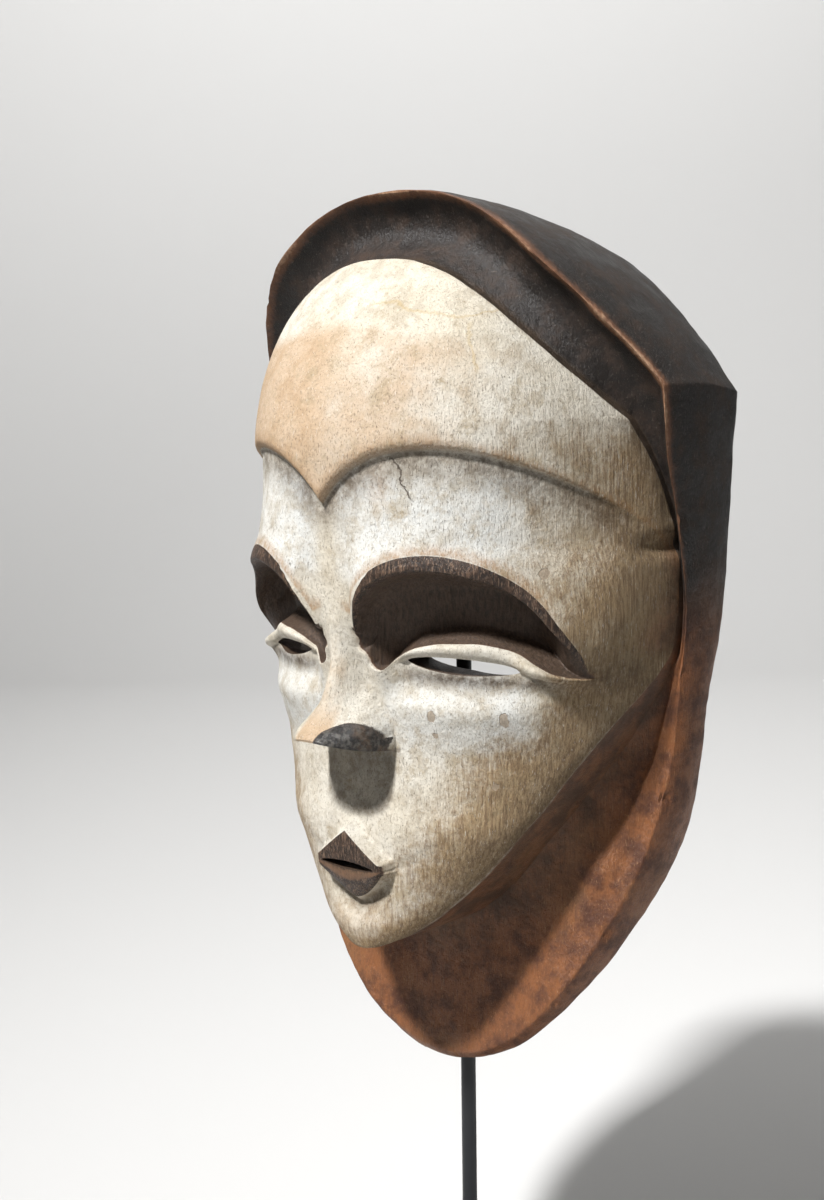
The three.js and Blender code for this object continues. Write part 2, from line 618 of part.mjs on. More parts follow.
function maskGeometry() {
  let mask = toSolid(blockGeometry());
  mask = mask.subtract(toSolid(faceHollow())).subtract(toSolid(backHollow()));
  [1, -1].forEach((side) => {
    const slit = { ...EYE, x: side * EYE.x, tilt: side * EYE.tilt };
    mask = mask.subtract(toSolid(slitTool(slit, [[-90, 1, 1], [-42, 1, 1], [-20, 1.25, 3]])));
  });
  return toGeometry(mask.subtract(toSolid(slitTool(MOUTH, [[-90, 1, 1], [-58, 1, 1], [-30, 1.1, 4]]))));
}

function piece(name, geometry, color, roughness, metalness) {
  const mesh = new THREE.Mesh(geometry, new THREE.MeshStandardMaterial({ color, roughness, metalness }));
  mesh.name = name;
  return mesh;
}

const mask = piece('mask', maskGeometry(), 0xc9bda8, 0.8, 0);
mask.position.z = MASK_LIFT;

const object = new THREE.Group();
object.add(mask);
object.add(piece('support_rod', rodGeometry(), 0x24272b, 0.45, 0.7));
object.add(piece('foot_plate', footGeometry(), 0x1f2124, 0.5, 0.7));

export default object;
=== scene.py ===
"""A carved wooden face mask, held up by a black steel rod on a square foot.

The face is white, the hood over it dark, and the collar under the jaw red-brown. Sizes are in millimetres
on the mask, with z from the collar's lowest edge, and the mask faces -Y.
"""
import math

import bmesh
import bpy
import numpy as np
from mathutils import Matrix, Vector, kdtree, noise


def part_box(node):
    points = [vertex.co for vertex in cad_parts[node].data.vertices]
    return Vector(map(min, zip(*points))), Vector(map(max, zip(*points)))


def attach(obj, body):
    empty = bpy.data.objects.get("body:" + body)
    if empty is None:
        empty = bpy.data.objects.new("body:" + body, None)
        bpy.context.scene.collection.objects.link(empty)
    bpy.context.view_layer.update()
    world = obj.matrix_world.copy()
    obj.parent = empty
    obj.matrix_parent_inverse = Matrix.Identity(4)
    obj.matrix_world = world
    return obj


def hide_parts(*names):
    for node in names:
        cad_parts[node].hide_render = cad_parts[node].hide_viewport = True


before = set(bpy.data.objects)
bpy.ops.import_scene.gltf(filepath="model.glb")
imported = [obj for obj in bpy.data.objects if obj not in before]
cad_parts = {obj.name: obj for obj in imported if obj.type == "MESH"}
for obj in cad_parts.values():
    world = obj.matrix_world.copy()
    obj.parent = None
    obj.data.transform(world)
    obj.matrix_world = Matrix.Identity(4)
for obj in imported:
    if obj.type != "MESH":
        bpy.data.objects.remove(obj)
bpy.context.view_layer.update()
bpy.ops.object.select_all(action="DESELECT")

MM = 0.001

# The view: the camera's turn, spot and roll, and the picture that it was fitted to, in pixels
VIEW_TURN = 42
VIEW_SPOT = {"x": 444.03, "y": -523.3, "z": 261}
VIEW_ROLL = 0.84
PICTURE = {"height": 1200, "focal": 1754, "level_row": 388}
SENSOR = 36

# The stand, with its sizes in whole millimetres from the frame
MASK_HEIGHT = 333
foot_low, foot_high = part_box("foot_plate")
rod_low, rod_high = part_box("support_rod")
mask_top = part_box("mask")[1][2]
FOOT_SIDE = round((foot_high[0] - foot_low[0]) / MM)
FOOT_THICK = round((foot_high[2] - foot_low[2]) / MM)
ROD_RADIUS = round((rod_high[0] - rod_low[0]) / 2 / MM)
MASK_LIFT = round(mask_top / MM) - MASK_HEIGHT
ROD_BEND = 14
ROD_ARM = {"z": 262, "tip_y": -59, "lean": 82}
TOUCH_GAP = 0.3

# The mask's main lines
CORNER = {"x": 99.3, "z": 261}
JAW_WIDTH = {"x": 88, "z": 140}
ARCH_POWER = 2.4
HAIRLINE = {"top": 308, "x": 82.3, "z": 249, "power": 2.25}
HAIRLINE_DEPTH = {"top": -45, "corner": -6, "power": 4.3}
CHIN_ARC = {"low": 52, "x": 48, "z": 89, "power": 1.75}
SOCKET = {"x": 43.5, "z": 166, "wide": 36, "high": 37.5, "tilt": -0.06, "taper": 0.35, "drop_from": 110}
LEAD = 0.1
RIDGE_BAND = (1.5, 6.5)
BROW = {"x": 38, "z": 192, "radius": 47, "from": 36, "to": 178, "step": 2.4, "cut": 2.8}
NOSE = {"half_width": 17.5, "tip_z": 133.3, "wing_z": 129.2, "under_z": 133, "bridge_z": 156,
        "wing_top_z": 138, "length": 27.6, "roundness": 2.3}
LIPS = {"half_width": 15.5, "z": 85.5, "up": 13.2, "down": 13, "out": 6.4, "end_x": 18.5}
EYE = {"x": 43.1, "z": 162.1, "half_length": 18.7, "half_height": 3.1, "tilt": -0.081}
MOUTH = {"x": 0, "z": LIPS["z"], "half_length": 13.2, "half_height": 1.6, "tilt": 0}
SLIT_POWER = 0.35
WALL = 12
SIDE_BULGE = 0.02
FACE_CENTRE_Z = 190
BACK_DROP = {"top": 12, "corner": 3, "power": 3, "from": 200}
BEYOND_BACK = 70
FACE_HOLLOW_SIDE = 20
BACK_HOLLOW = {"low": 86, "high": 311, "side": 38}
SCOOP_DEEP = 0.8
UPPER_LID = {"from": 21, "to": 79, "out": 2.2, "full_at": 4}
LOWER_LID = {"below": 0.9, "wide": 0.9, "out": 0.7, "full_at": 1.2}
TEMPLE = {"from": 0.66, "full": 0.9, "hold": 0.93}
EDGE_CUT = 0.94
BEHIND_SOCKET = {"x": 42, "z": 180, "deep": 24, "wide": 25, "high": 17}
HALF_COLUMNS = 90


def mix(a, b, t):
    return a + (b - a) * t


def smoothstep(start, end, v):
    t = np.clip((v - start) / (end - start), 0, 1)
    return t * t * (3 - 2 * t)


def bell(v, centre, width):
    return np.exp(-(((v - centre) / width) ** 2))


def curve(*pairs):
    """A smooth curve through (at, value) pairs that never overshoots them."""
    at = np.array([p[0] for p in pairs], float)
    value = np.array([p[1] for p in pairs], float)
    span = np.diff(at)
    slope = np.diff(value) / span
    tangent = np.zeros(len(at))
    tangent[0] = slope[0]
    tangent[-1] = slope[-1]
    for i in range(1, len(at) - 1):
        if slope[i - 1] * slope[i] > 0:
            a = 2 * span[i] + span[i - 1]
            b = span[i] + 2 * span[i - 1]
            tangent[i] = (a + b) / (a / slope[i - 1] + b / slope[i])

    def read(v):
        v = np.clip(v, at[0], at[-1])
        i = np.clip(np.searchsorted(at, v, side="right") - 1, 0, len(span) - 1)
        t = (v - at[i]) / span[i]
        return (
            (2 * t**3 - 3 * t**2 + 1) * value[i]
            + (t**3 - 2 * t**2 + t) * span[i] * tangent[i]
            + (3 * t**2 - 2 * t**3) * value[i + 1]
            + (t**3 - t**2) * span[i] * tangent[i + 1]
        )

    return read


# The face's plain form: half its width, and the depth of its edge and of its middle, by height
face_side = curve((89, 48), (96, 53.5), (111, 63), (126, 72), (139, 79), (148, 83), (156, 85.7), (165, 87),
                  (181, 88.5), (200, 89), (215, 88), (237, 85.3), (249, 82.3))
edge_depth_side = curve((52, -61.5), (57, -57), (71, -47.5), (89, -38.5), (96, -36), (111, -27.5), (126, -20),
                        (139, -10), (148, 0.3), (156, 9.5), (165, 17), (181, 18), (200, 17), (215, 13),
                        (237, 2), (249, -6))
middle_depth = curve((52, -61.5), (60, -63), (72, -62.5), (98, -63.5), (112, -61.8), (128, -61), (145, -62.5),
                     (160, -66), (180, -73.5), (195, -76.5), (225, -79), (240, -79.5), (258, -76),
                     (275, -69.5), (292, -59.5), (308, -45))
roundness = curve((52, 2.3), (96, 2.5), (111, 2.15), (126, 2.08), (139, 2.4), (150, 2.8), (165, 2.8),
                  (195, 2.68), (207, 2.28), (250, 2.2), (308, 2.26))
temple_out = curve((146, 0), (152, 2.5), (158, 10), (165, 15), (171, 15.5), (178, 14), (186, 10), (195, 5),
                   (204, 1), (212, 0))


def face_half_width(z):
    above = np.clip((HAIRLINE["top"] - z) / (HAIRLINE["top"] - HAIRLINE["z"]), 0, 1)
    below = np.clip((z - CHIN_ARC["low"]) / (CHIN_ARC["z"] - CHIN_ARC["low"]), 0, 1)
    arch = HAIRLINE["x"] * above ** (1 / HAIRLINE["power"])
    chin = CHIN_ARC["x"] * below ** (1 / CHIN_ARC["power"])
    return np.where(z > HAIRLINE["z"], arch, np.where(z < CHIN_ARC["z"], chin, face_side(z)))


def edge_depth(z):
    share = (face_half_width(z) / HAIRLINE["x"]) ** HAIRLINE_DEPTH["power"]
    arch = mix(HAIRLINE_DEPTH["top"], HAIRLINE_DEPTH["corner"], share)
    return np.where(z <= HAIRLINE["z"], edge_depth_side(z), arch)


def round_back(share, power):
    s = np.clip(np.abs(share), 0, 1)
    return 1 - (1 - s**power) ** (1 / power)


def plain_face(x, z):
    level = np.clip(z, CHIN_ARC["low"], HAIRLINE["top"])
    share = np.abs(x) / np.maximum(face_half_width(level), 0.001)
    temple = smoothstep(TEMPLE["from"], TEMPLE["full"], share) * (1 - smoothstep(TEMPLE["hold"], 1, share))
    power = roundness(level)
    back = round_back(share * EDGE_CUT, power) / round_back(EDGE_CUT, power)
    return mix(middle_depth(level), edge_depth(level), back) - temple_out(level) * temple


nose_width = curve((133, 17.5), (137, 17.2), (142, 14.8), (150, 11.6), (160, 9.6), (172, 8.5), (182, 8))
nose_height = curve((133, 1), (136, 0.96), (140, 0.777), (145.5, 0.64), (152.5, 0.48), (161.5, 0.265),
                    (171, 0.113), (182, 0))


def nose(x, z):
    """How far the nose stands out: a narrow bridge above that flares into one broad, round tip below."""
    s = np.clip(np.abs(x) / nose_width(z), 0, 1)
    bridge = np.cos(s * math.pi / 2) ** 2
    tip = 1 - round_back(s, NOSE["roundness"])
    tip_share = smoothstep(NOSE["bridge_z"], NOSE["wing_top_z"], z)
    return NOSE["length"] * nose_height(z) * mix(bridge, tip, tip_share)


# The carving lines run from the middle of the face (u = 0) to its edge (u = 1), seen from the front
def hairline(u):
    return HAIRLINE["x"] * u, HAIRLINE["top"] - (HAIRLINE["top"] - HAIRLINE["z"]) * u ** HAIRLINE["power"]


def jawline(u):
    rise = CHIN_ARC["z"] - CHIN_ARC["low"]
    return CHIN_ARC["x"] * u, CHIN_ARC["low"] + rise * u ** CHIN_ARC["power"]


def brow_arc(rise):
    def path(u):
        angle = np.radians(mix(BROW["from"], BROW["to"], u))
        x = np.maximum(0, BROW["x"] - BROW["radius"] * np.cos(angle))
        z = BROW["z"] + BROW["radius"] * np.sin(angle)
        return np.minimum(x, face_half_width(z)), z + rise

    return path


def socket_arc(inset, start, middle_z, tip_z, edge_z):
    """An arch round the eye socket, from `start` degrees to its outer tip, moved in by `inset`, side and top.

    A short lead joins it to the middle of the face at middle_z, and another to the face's edge at edge_z.
    The inset grows thinner toward the tip, and the tip drops to tip_z.
    """

    def at(degrees):
        angle = np.radians(degrees)
        side = inset[0] * (1 - SOCKET["taper"] + SOCKET["taper"] * np.cos(angle))
        x = SOCKET["x"] - (SOCKET["wide"] - side) * np.cos(angle)
        z = SOCKET["z"] + (SOCKET["high"] - inset[1]) * np.sin(angle) + SOCKET["tilt"] * (x - SOCKET["x"])
        drop = tip_z - SOCKET["z"] - SOCKET["tilt"] * SOCKET["wide"]
        return x, z + drop * smoothstep(SOCKET["drop_from"], 180, degrees)

    first_x, first_z = at(start)
    last_x, last_z = at(180)

    def path(u):
        arc_x, arc_z = at(mix(start, 180, np.clip((u - LEAD) / (1 - 2 * LEAD), 0, 1)))
        inner = np.clip(u / LEAD, 0, 1)
        outer = np.clip((u - 1 + LEAD) / LEAD, 0, 1)
        in_leads = (u < LEAD, u > 1 - LEAD)
        x = np.select(in_leads, (first_x * inner, mix(last_x, face_half_width(edge_z), outer)), arc_x)
        z = np.select(in_leads, (mix(middle_z, first_z, inner**2), mix(last_z, edge_z, outer)), arc_z)
        return x, z

    return path


def line_through(edge_z, *points):
    width = float(face_half_width(edge_z))
    height = curve(*points, (width, edge_z))
    return lambda u: (width * u, height(width * u))


def nose_under(x):
    return NOSE["tip_z"] - (NOSE["tip_z"] - NOSE["wing_z"]) * np.clip(x / NOSE["half_width"], 0, 1) ** 2


def nose_line(rise, edge_z):
    width = float(face_half_width(edge_z))

    def path(u):
        x = width * u
        return x, mix(nose_under(x) + rise, edge_z, smoothstep(NOSE["half_width"], width, x))

    return path


def lip_span(x):
    return np.clip(x / LIPS["half_width"], 0, 1)


def lip_block(x):
    return 1 - smoothstep(LIPS["half_width"] - 0.5, LIPS["end_x"], x)


def lip_line(rise, corner, edge_z, power=1):
    width = float(face_half_width(edge_z))

    def path(u):
        x = width * u
        height = LIPS["z"] + mix(rise, corner, lip_span(x) ** power)
        return x, mix(height, edge_z, smoothstep(LIPS["half_width"] * 0.9, width, x))

    return path


def within(start, end, full, stop):
    return lambda x: smoothstep(start, end, x) * (1 - smoothstep(full, stop, x))


def fade_brow(x):
    return 1 - smoothstep(70, 87, x)


def socket_deep(x, start):
    """Share of the socket's depth: it falls away beside the nose and rises again toward the temple."""
    return 0.62 * smoothstep(start, start + 9, x) + 0.38 * smoothstep(14, 40, x) - smoothstep(64, 82, x)


def mouth_fold(x):
    return 0.3 * within(14, 19, 24, 44)(x)


def flat(x):
    return 0 * x


def straight(t):
    return t


def swing(t):
    return t * t * (3 - 2 * t)


ridge = within(7, 16, 56, 80)
ridge_ends = within(6.5, 10, 77.5, 80.8)
lid_span = within(14, 23, 52, 79)
cheek = within(20, 40, 60, 80)

# Each carving line: its path, how far it stands out of the plain face, the number of rows down to the next
# line, and how the one passes into the other
HAIR, BROW_TOP, BROW_CUT, RIDGE_TOP, RIDGE_LOW, ROOF, BOWL, CREASE, LID, SLIT, UNDER, CHEEK = range(12)
NOSE_EDGE, NOSE_UNDER, OVER_LIP, LIP_TOP, LIP_SLIT, LIP_LOW, UNDER_LIP, CHIN, JAW = range(12, 21)
LINES = [
    (hairline, flat, 54, straight),
    (brow_arc(BROW["step"]), lambda x: 1.2 * fade_brow(x), 3, straight),
    (brow_arc(0), lambda x: -BROW["cut"] * fade_brow(x), 32, lambda t: t**1.8),
    (socket_arc((0, 0), 20, 183, 161, 172), lambda x: 3.0 * ridge(x), 6, straight),
    (socket_arc(RIDGE_BAND, 10, 178, 159.3, 166), lambda x: 3.6 * ridge(x), 5, straight),
    (socket_arc((2.2, 7.2), 9, 176.5, 158.8, 164), lambda x: -11 * socket_deep(x, 6), 6, straight),
    (socket_arc((4.5, 13), 4, 173, 158.3, 162), lambda x: -17.5 * socket_deep(x, 7), 14, straight),
    (line_through(160, (0, 168), (8, 166.6), (15, 160.9), (20, 168), (30, 175.6), (45, 177), (58, 172.5),
                  (69, 164.5), (79.5, 157.6)),
     lambda x: -18 * socket_deep(x, 9.5), 12, lambda t: t**1.5),
    (line_through(158, (0, 164), (8, 162.8), (15, 159.3), (21.3, 164.6), (30, 168.4), (39, 170.1),
                  (49, 170.3), (57, 168.5), (69, 162.3), (79.5, 157)),
     lambda x: -5.8 * lid_span(x), 12, straight),
    (line_through(156, (0, 160), (14, 158.2), (21.3, 162.4), (25, 163.5), (43, 162.3), (61, 160.3),
                  (70, 158), (79.5, 155.5)),
     lambda x: -6 * lid_span(x), 8, straight),
    (line_through(152.6, (0, 155), (14, 155), (25, 156), (43, 155), (62, 153.6), (79.5, 152)),
     lambda x: -4.8 * lid_span(x), 10, swing),
    (line_through(144, (0, 148), (25, 145), (50, 143.5), (70, 143.5)),
     lambda x: 0.8 * cheek(x), 12, straight),
    (nose_line(1.2, 129), flat, 12, straight),
    (nose_line(0, 126.5), flat, 24, straight),
    (lip_line(LIPS["up"] + 4.6, 4, 113), lambda x: 0.2 + 0 * x, 7, swing),
    (lip_line(LIPS["up"], 1.6, 110),
     lambda x: LIPS["out"] * lip_block(x) - 0.5 * mouth_fold(x), 12, straight),
    (lip_line(0, 0, 104.5),
     lambda x: mix(LIPS["out"] - 0.8, LIPS["out"], lip_span(x)) * lip_block(x) - mouth_fold(x),
     14, lambda t: t * t),
    (lip_line(-LIPS["down"], -1.6, 99, 1.5),
     lambda x: mix(1.8, LIPS["out"], lip_span(x) ** 2) * lip_block(x) - 0.4 * mouth_fold(x), 3, straight),
    (lip_line(-LIPS["down"] - 2.2, -3.4, 96.5, 1.5),
     lambda x: -2.6 * (1 - smoothstep(5, 20, x)), 8, straight),
    (line_through(92.5, (0, 61.5), (20, 66), (35, 76)),
     lambda x: 1.2 * (1 - smoothstep(10, 34, x)), 8, straight),
    (jawline, flat, 1, straight),
]
column_spread = curve((0, 0), (0.3, 0.23), (0.75, 0.82), (0.9, 0.957), (1, 1))


def slit_rise(x, slit):
    """Half the slit's height at x, and its middle line, for the slit on the side of positive x."""
    along = x - slit["x"]
    share = np.clip(1 - (along / slit["half_length"]) ** 2, 0, 1)
    rise = slit["half_height"] * share ** ((1 + SLIT_POWER) / 2)
    return rise, slit["z"] + slit["tilt"] * along


lid_top = curve((21, 163.2), (22.4, 166), (25, 167.4), (30.5, 169), (39.5, 170.2), (46, 170.3), (52, 169.7),
                (57, 168.3), (63, 165.3), (69, 162.3), (75, 159.4), (79, 157.6))
lid_tail = curve((21, 162.8), (24.4, 163.6), (43, 162.1), (61.6, 160.5), (66, 159.2), (70, 158), (75, 156.3),
                 (79, 155.6))


def lid_shape(x, z):
    """The upper lid as a crescent: 1 along its middle, 0 at its edges, and how thick it is at x."""
    rise, middle = slit_rise(x, EYE)
    low = np.maximum(lid_tail(x), np.where(rise > 0, middle + rise, 0))
    thick = np.maximum(lid_top(x) - low, 0.01)
    across = np.clip((z - low) / thick, 0, 1)
    inside = (x > UPPER_LID["from"]) & (x < UPPER_LID["to"])
    return np.sqrt(np.maximum(0, 1 - (2 * across - 1) ** 2)) * inside, thick


def face_rows():
    """The face as rows of points, with the line number that each row has reached."""
    side = np.linspace(-1, 1, 2 * HALF_COLUMNS + 1)
    u = column_spread(np.abs(side))
    rows, levels = [], []
    for k, (path, out, count, ease) in enumerate(LINES):
        next_path, next_out = LINES[min(k + 1, len(LINES) - 1)][:2]
        for i in range(count):
            t = i / count
            x0, z0 = path(u)
            x1, z1 = next_path(u)
            x, z = mix(x0, x1, t), mix(z0, z1, t)
            level = np.clip(z[-1], CHIN_ARC["low"], HAIRLINE["top"])
            x = x * face_half_width(level) / x[-1]
            stand_out = mix(out(x0), next_out(x1), ease(t))
            if k < NOSE_EDGE:
                stand_out = stand_out + nose(x, z)
            elif k == NOSE_EDGE:
                stand_out = stand_out + nose(x, np.maximum(z, NOSE["under_z"])) * (1 - t)
            if CREASE < k <= UNDER:
                crescent, thick = lid_shape(x, z)
                rise, middle = slit_rise(x, EYE)
                upper_lid = UPPER_LID["out"] * crescent * np.minimum(1, thick / UPPER_LID["full_at"])
                lower_lid = bell(z, middle - rise - LOWER_LID["below"], LOWER_LID["wide"])
                lower_lid = lower_lid * smoothstep(0, LOWER_LID["full_at"], rise)
                stand_out = stand_out + upper_lid + LOWER_LID["out"] * lower_lid
            rows.append(np.stack([np.sign(side) * x, plain_face(x, z) - stand_out, z], -1))
            levels.append(k + t)
    grid = np.array(rows)
    for _ in range(2):
        inner = grid.copy()
        inner[1:-1] = (grid[:-2] + 2 * grid[1:-1] + grid[2:]) / 4
        grid[1:-1, 1:-1] = inner[1:-1, 1:-1]
    return grid, np.array(levels)


def outline_half_width(z):
    arch = CORNER["x"] * np.clip((MASK_HEIGHT - z) / (MASK_HEIGHT - CORNER["z"]), 0, 1) ** (1 / ARCH_POWER)
    side = mix(JAW_WIDTH["x"], CORNER["x"], (z - JAW_WIDTH["z"]) / (CORNER["z"] - JAW_WIDTH["z"]))
    low = JAW_WIDTH["x"] * np.sqrt(np.maximum(0, 1 - ((JAW_WIDTH["z"] - z) / JAW_WIDTH["z"]) ** 2))
    return np.where(z > CORNER["z"], arch, np.where(z > JAW_WIDTH["z"], side, low))


# The frame round the face: its rim and back by height, and how deep its step and hollow are
rim_depth = curve((0, -19), (28, -16), (57, -5), (90, 8), (140, 18), (170, 19), (210, 8), (240, -4),
                  (261, -9), (290, -28), (312, -39.5), (333, -40))
back_depth = curve((0, -9), (12, -6), (27, 1), (44, 10), (65, 23), (91, 34), (138, 38.5), (183, 45),
                   (240, 42), (333, 40))
frame_step = curve((52, 47), (71, 37), (89, 29), (107, 27.5), (125, 27), (143, 18), (152, 11), (160, 6),
                   (181, 3), (215, 3), (249, 4.5), (308, 4))
frame_hollow = curve((52, 1), (89, 3), (125, 2), (160, 0.5), (215, 1), (249, 5), (285, 9), (308, 9.5))


def outline_toward(x, z):
    """Where a ray from the face's centre through each point meets the mask's outline."""
    near, far = np.zeros_like(x), np.full_like(x, 4.0)
    for _ in range(40):
        scale = (near + far) / 2
        height = FACE_CENTRE_Z + (z - FACE_CENTRE_Z) * scale
        inside = (height > 0) & (height < MASK_HEIGHT) & (np.abs(x) * scale < outline_half_width(height))
        near, far = np.where(inside, scale, near), np.where(inside, far, scale)
    return x * near, FACE_CENTRE_Z + (z - FACE_CENTRE_Z) * near


def back_drop(x, z):
    low = BACK_DROP["corner"] * smoothstep(BACK_DROP["from"], CORNER["z"], z)
    arch = mix(BACK_DROP["top"], BACK_DROP["corner"], (np.abs(x) / CORNER["x"]) ** BACK_DROP["power"])
    return np.where(z < CORNER["z"], low, arch)


def back_sheet(x, z):
    width = np.maximum(outline_half_width(np.clip(z, 1, MASK_HEIGHT - 1)), 1)
    middle = mix(-ROD_RADIUS - TOUCH_GAP, back_depth(z) - 3, smoothstep(69, 125, z))
    low = mix(middle, back_depth(0), 1 - smoothstep(0, 14, z))
    return mix(low, back_depth(z), np.clip(np.abs(x) / width, 0, 1) ** 2.2)


STEP_RINGS = (0.15, 0.4, 0.7, 1)
FRAME_RINGS = (0.05, 0.12, 0.2, 0.28, 0.36, 0.44, 0.52, 0.6, 0.68, 0.76, 0.84, 0.9, 0.94, 0.97, 1)
WALL_RINGS = (0.02, 0.06, 0.12, 0.22, 0.35, 0.5, 0.65, 0.8, 0.91, 0.97, 1)
BACK_RINGS = (0.985, 0.96, 0.92, 0.86, 0.76, 0.64, 0.45, 0.3)
COLLAR_RIDGE = {"out": 1.6, "at": 0.62, "wide": 0.1}
NEAR_FOLD = (0.13, 0.88)
ON_FACE, ON_STEP, ON_FRAME, ON_WALL, ON_BACK = range(5)


def rings_around(edge):
    """Rings from the face's edge over the frame and rim, along the side wall and in over the back.

    The folds between them are rounded, apart from the sharp one at the foot of the step.
    """
    x, y, z = edge.T
    out_x, out_z = outline_toward(x, z)
    start, rim = y + frame_step(z), rim_depth(out_z)
    collar = within(20, 60, 150, 190)(CORNER["z"] - z)
    rings, marks = [edge], [(ON_FACE, 0)]
    for t in STEP_RINGS:
        rings.append(np.stack([x, mix(y, start, t), z], -1))
        marks.append((ON_STEP, t))
    for t in FRAME_RINGS:
        ridge_line = COLLAR_RIDGE["out"] * collar * bell(t, COLLAR_RIDGE["at"], COLLAR_RIDGE["wide"])
        depth = mix(start, rim, t) + frame_hollow(z) * 4 * t * (1 - t) - ridge_line
        rings.append(np.stack([mix(x, out_x, t), depth, mix(z, out_z, t)], -1))
        marks.append((ON_FRAME, t))
    for t in WALL_RINGS:
        bulge = 1 + SIDE_BULGE * 4 * t * (1 - t)
        height = FACE_CENTRE_Z + (out_z - FACE_CENTRE_Z) * bulge - back_drop(out_x, out_z) * t
        rings.append(np.stack([out_x * bulge, mix(rim, back_depth(out_z), t), height], -1))
        marks.append((ON_WALL, t))
    for share in BACK_RINGS:
        height = FACE_CENTRE_Z + (out_z - back_drop(out_x, out_z) - FACE_CENTRE_Z) * share
        rings.append(np.stack([out_x * share, back_sheet(out_x * share, height), height], -1))
        marks.append((ON_BACK, share))
    rings = np.array(rings)
    first, last = NEAR_FOLD
    near_fold = [zone in (ON_FRAME, ON_WALL) and not first <= t <= last for zone, t in marks]
    soft = np.where(near_fold, 0.5, 0)
    soft[1 + len(STEP_RINGS)] = 0
    for _ in range(2):
        middle = (rings[:-2] + rings[2:]) / 2
        rings[1:-1] = mix(rings[1:-1], middle, soft[1:-1, None, None])
    return rings[1:], marks[1:]


def noise_on(points, size, seed):
    """Smooth noise from -1 to 1 whose lumps are about `size` mm across."""
    shift = Vector((seed * 17.3, seed * 5.1, seed * 9.7))
    return np.array([noise.noise(Vector(p) / size + shift) for p in points])


def scoops_on(points, size):
    """Shallow scoops left by a curved blade, 0 at their middles and 1 where they meet."""
    return np.array([noise.voronoi(Vector(p) / size, distance_metric="DISTANCE")[0][0] for p in points])


def values_of(items, name, width=1, kind=float):
    """One value, or a row of them, from each item of a mesh's list."""
    values = np.empty(len(items) * width, kind)
    items.foreach_get(name, values)
    return values.reshape(-1, width) if width > 1 else values


def coords(mesh):
    return values_of(mesh.vertices, "co", 3)


def place(mesh, points):
    mesh.vertices.foreach_set("co", np.ascontiguousarray(points, dtype=float).ravel())
    mesh.update()


def pick(piece):
    bpy.ops.object.select_all(action="DESELECT")
    bpy.context.view_layer.objects.active = piece
    piece.select_set(True)


def edit_all():
    bpy.ops.object.mode_set(mode="EDIT")
    bpy.ops.mesh.select_all(action="SELECT")


def close_up(piece):
    """Joins doubled points and turns the faces outwards, also where the piece is bent and fools the operator."""
    pick(piece)
    edit_all()
    bpy.ops.mesh.remove_doubles(threshold=1e-6)
    bpy.ops.mesh.dissolve_degenerate(threshold=1e-7)
    bpy.ops.mesh.normals_make_consistent(inside=False)
    if bmesh.from_edit_mesh(piece.data).calc_volume(signed=True) < 0:
        bpy.ops.mesh.flip_normals()
    bpy.ops.object.mode_set(mode="OBJECT")


def key_of(spot):
    """A vertex's place as a key, for finding it again after an extrude."""
    return tuple(round(c, 4) for c in spot)


def carved_block():
    """The solid block: a grid pushed into the face, its edge drawn out in rings and closed at the back."""
    grid, levels = face_rows()
    rows, columns = grid.shape[:2]
    bpy.ops.mesh.primitive_grid_add(x_subdivisions=columns - 1, y_subdivisions=rows - 1, size=2)
    block = bpy.context.object
    block.name = "carved_mask"
    plain = coords(block.data)
    column = np.rint((plain[:, 0] + 1) / 2 * (columns - 1)).astype(int)
    row = np.rint((1 - plain[:, 1]) / 2 * (rows - 1)).astype(int)
    place(block.data, grid[row, column])
    for name, values in (("zone", np.zeros(len(row))), ("way", levels[row])):
        layer = block.data.attributes.new(name, "FLOAT", "POINT")
        layer.data.foreach_set("value", values)
    loop = [(0, j) for j in range(columns)] + [(i, columns - 1) for i in range(1, rows)]
    loop += [(rows - 1, j) for j in range(columns - 2, -1, -1)] + [(i, 0) for i in range(rows - 2, 0, -1)]
    rings, marks = rings_around(np.array([grid[spot] for spot in loop]))

    bpy.ops.object.mode_set(mode="EDIT")
    bpy.ops.mesh.select_all(action="DESELECT")
    mesh = bmesh.from_edit_mesh(block.data)
    mesh.verts.ensure_lookup_table()
    spot_of = {(r, c): n for n, (r, c) in enumerate(zip(row, column))}
    order = {spot_of[spot]: n for n, spot in enumerate(loop)}
    for edge in mesh.edges:
        if edge.is_boundary:
            edge.select_set(True)
    ring_at = {key_of(mesh.verts[v].co): n for v, n in order.items()}
    for ring, (ring_zone, t) in zip(rings, marks):
        bpy.ops.mesh.extrude_region_move()
        mesh = bmesh.from_edit_mesh(block.data)
        zone, way = mesh.verts.layers.float["zone"], mesh.verts.layers.float["way"]
        moved = {}
        for vertex in mesh.verts:
            if vertex.select:
                n = ring_at[key_of(vertex.co)]
                vertex.co = ring[n]
                vertex[zone], vertex[way] = ring_zone, t
                moved[key_of(vertex.co)] = n
        ring_at = moved
        bmesh.update_edit_mesh(block.data)
    bpy.ops.mesh.extrude_region_move()
    bpy.ops.mesh.merge(type="CENTER")
    bpy.ops.object.mode_set(mode="OBJECT")
    close_up(block)
    return block


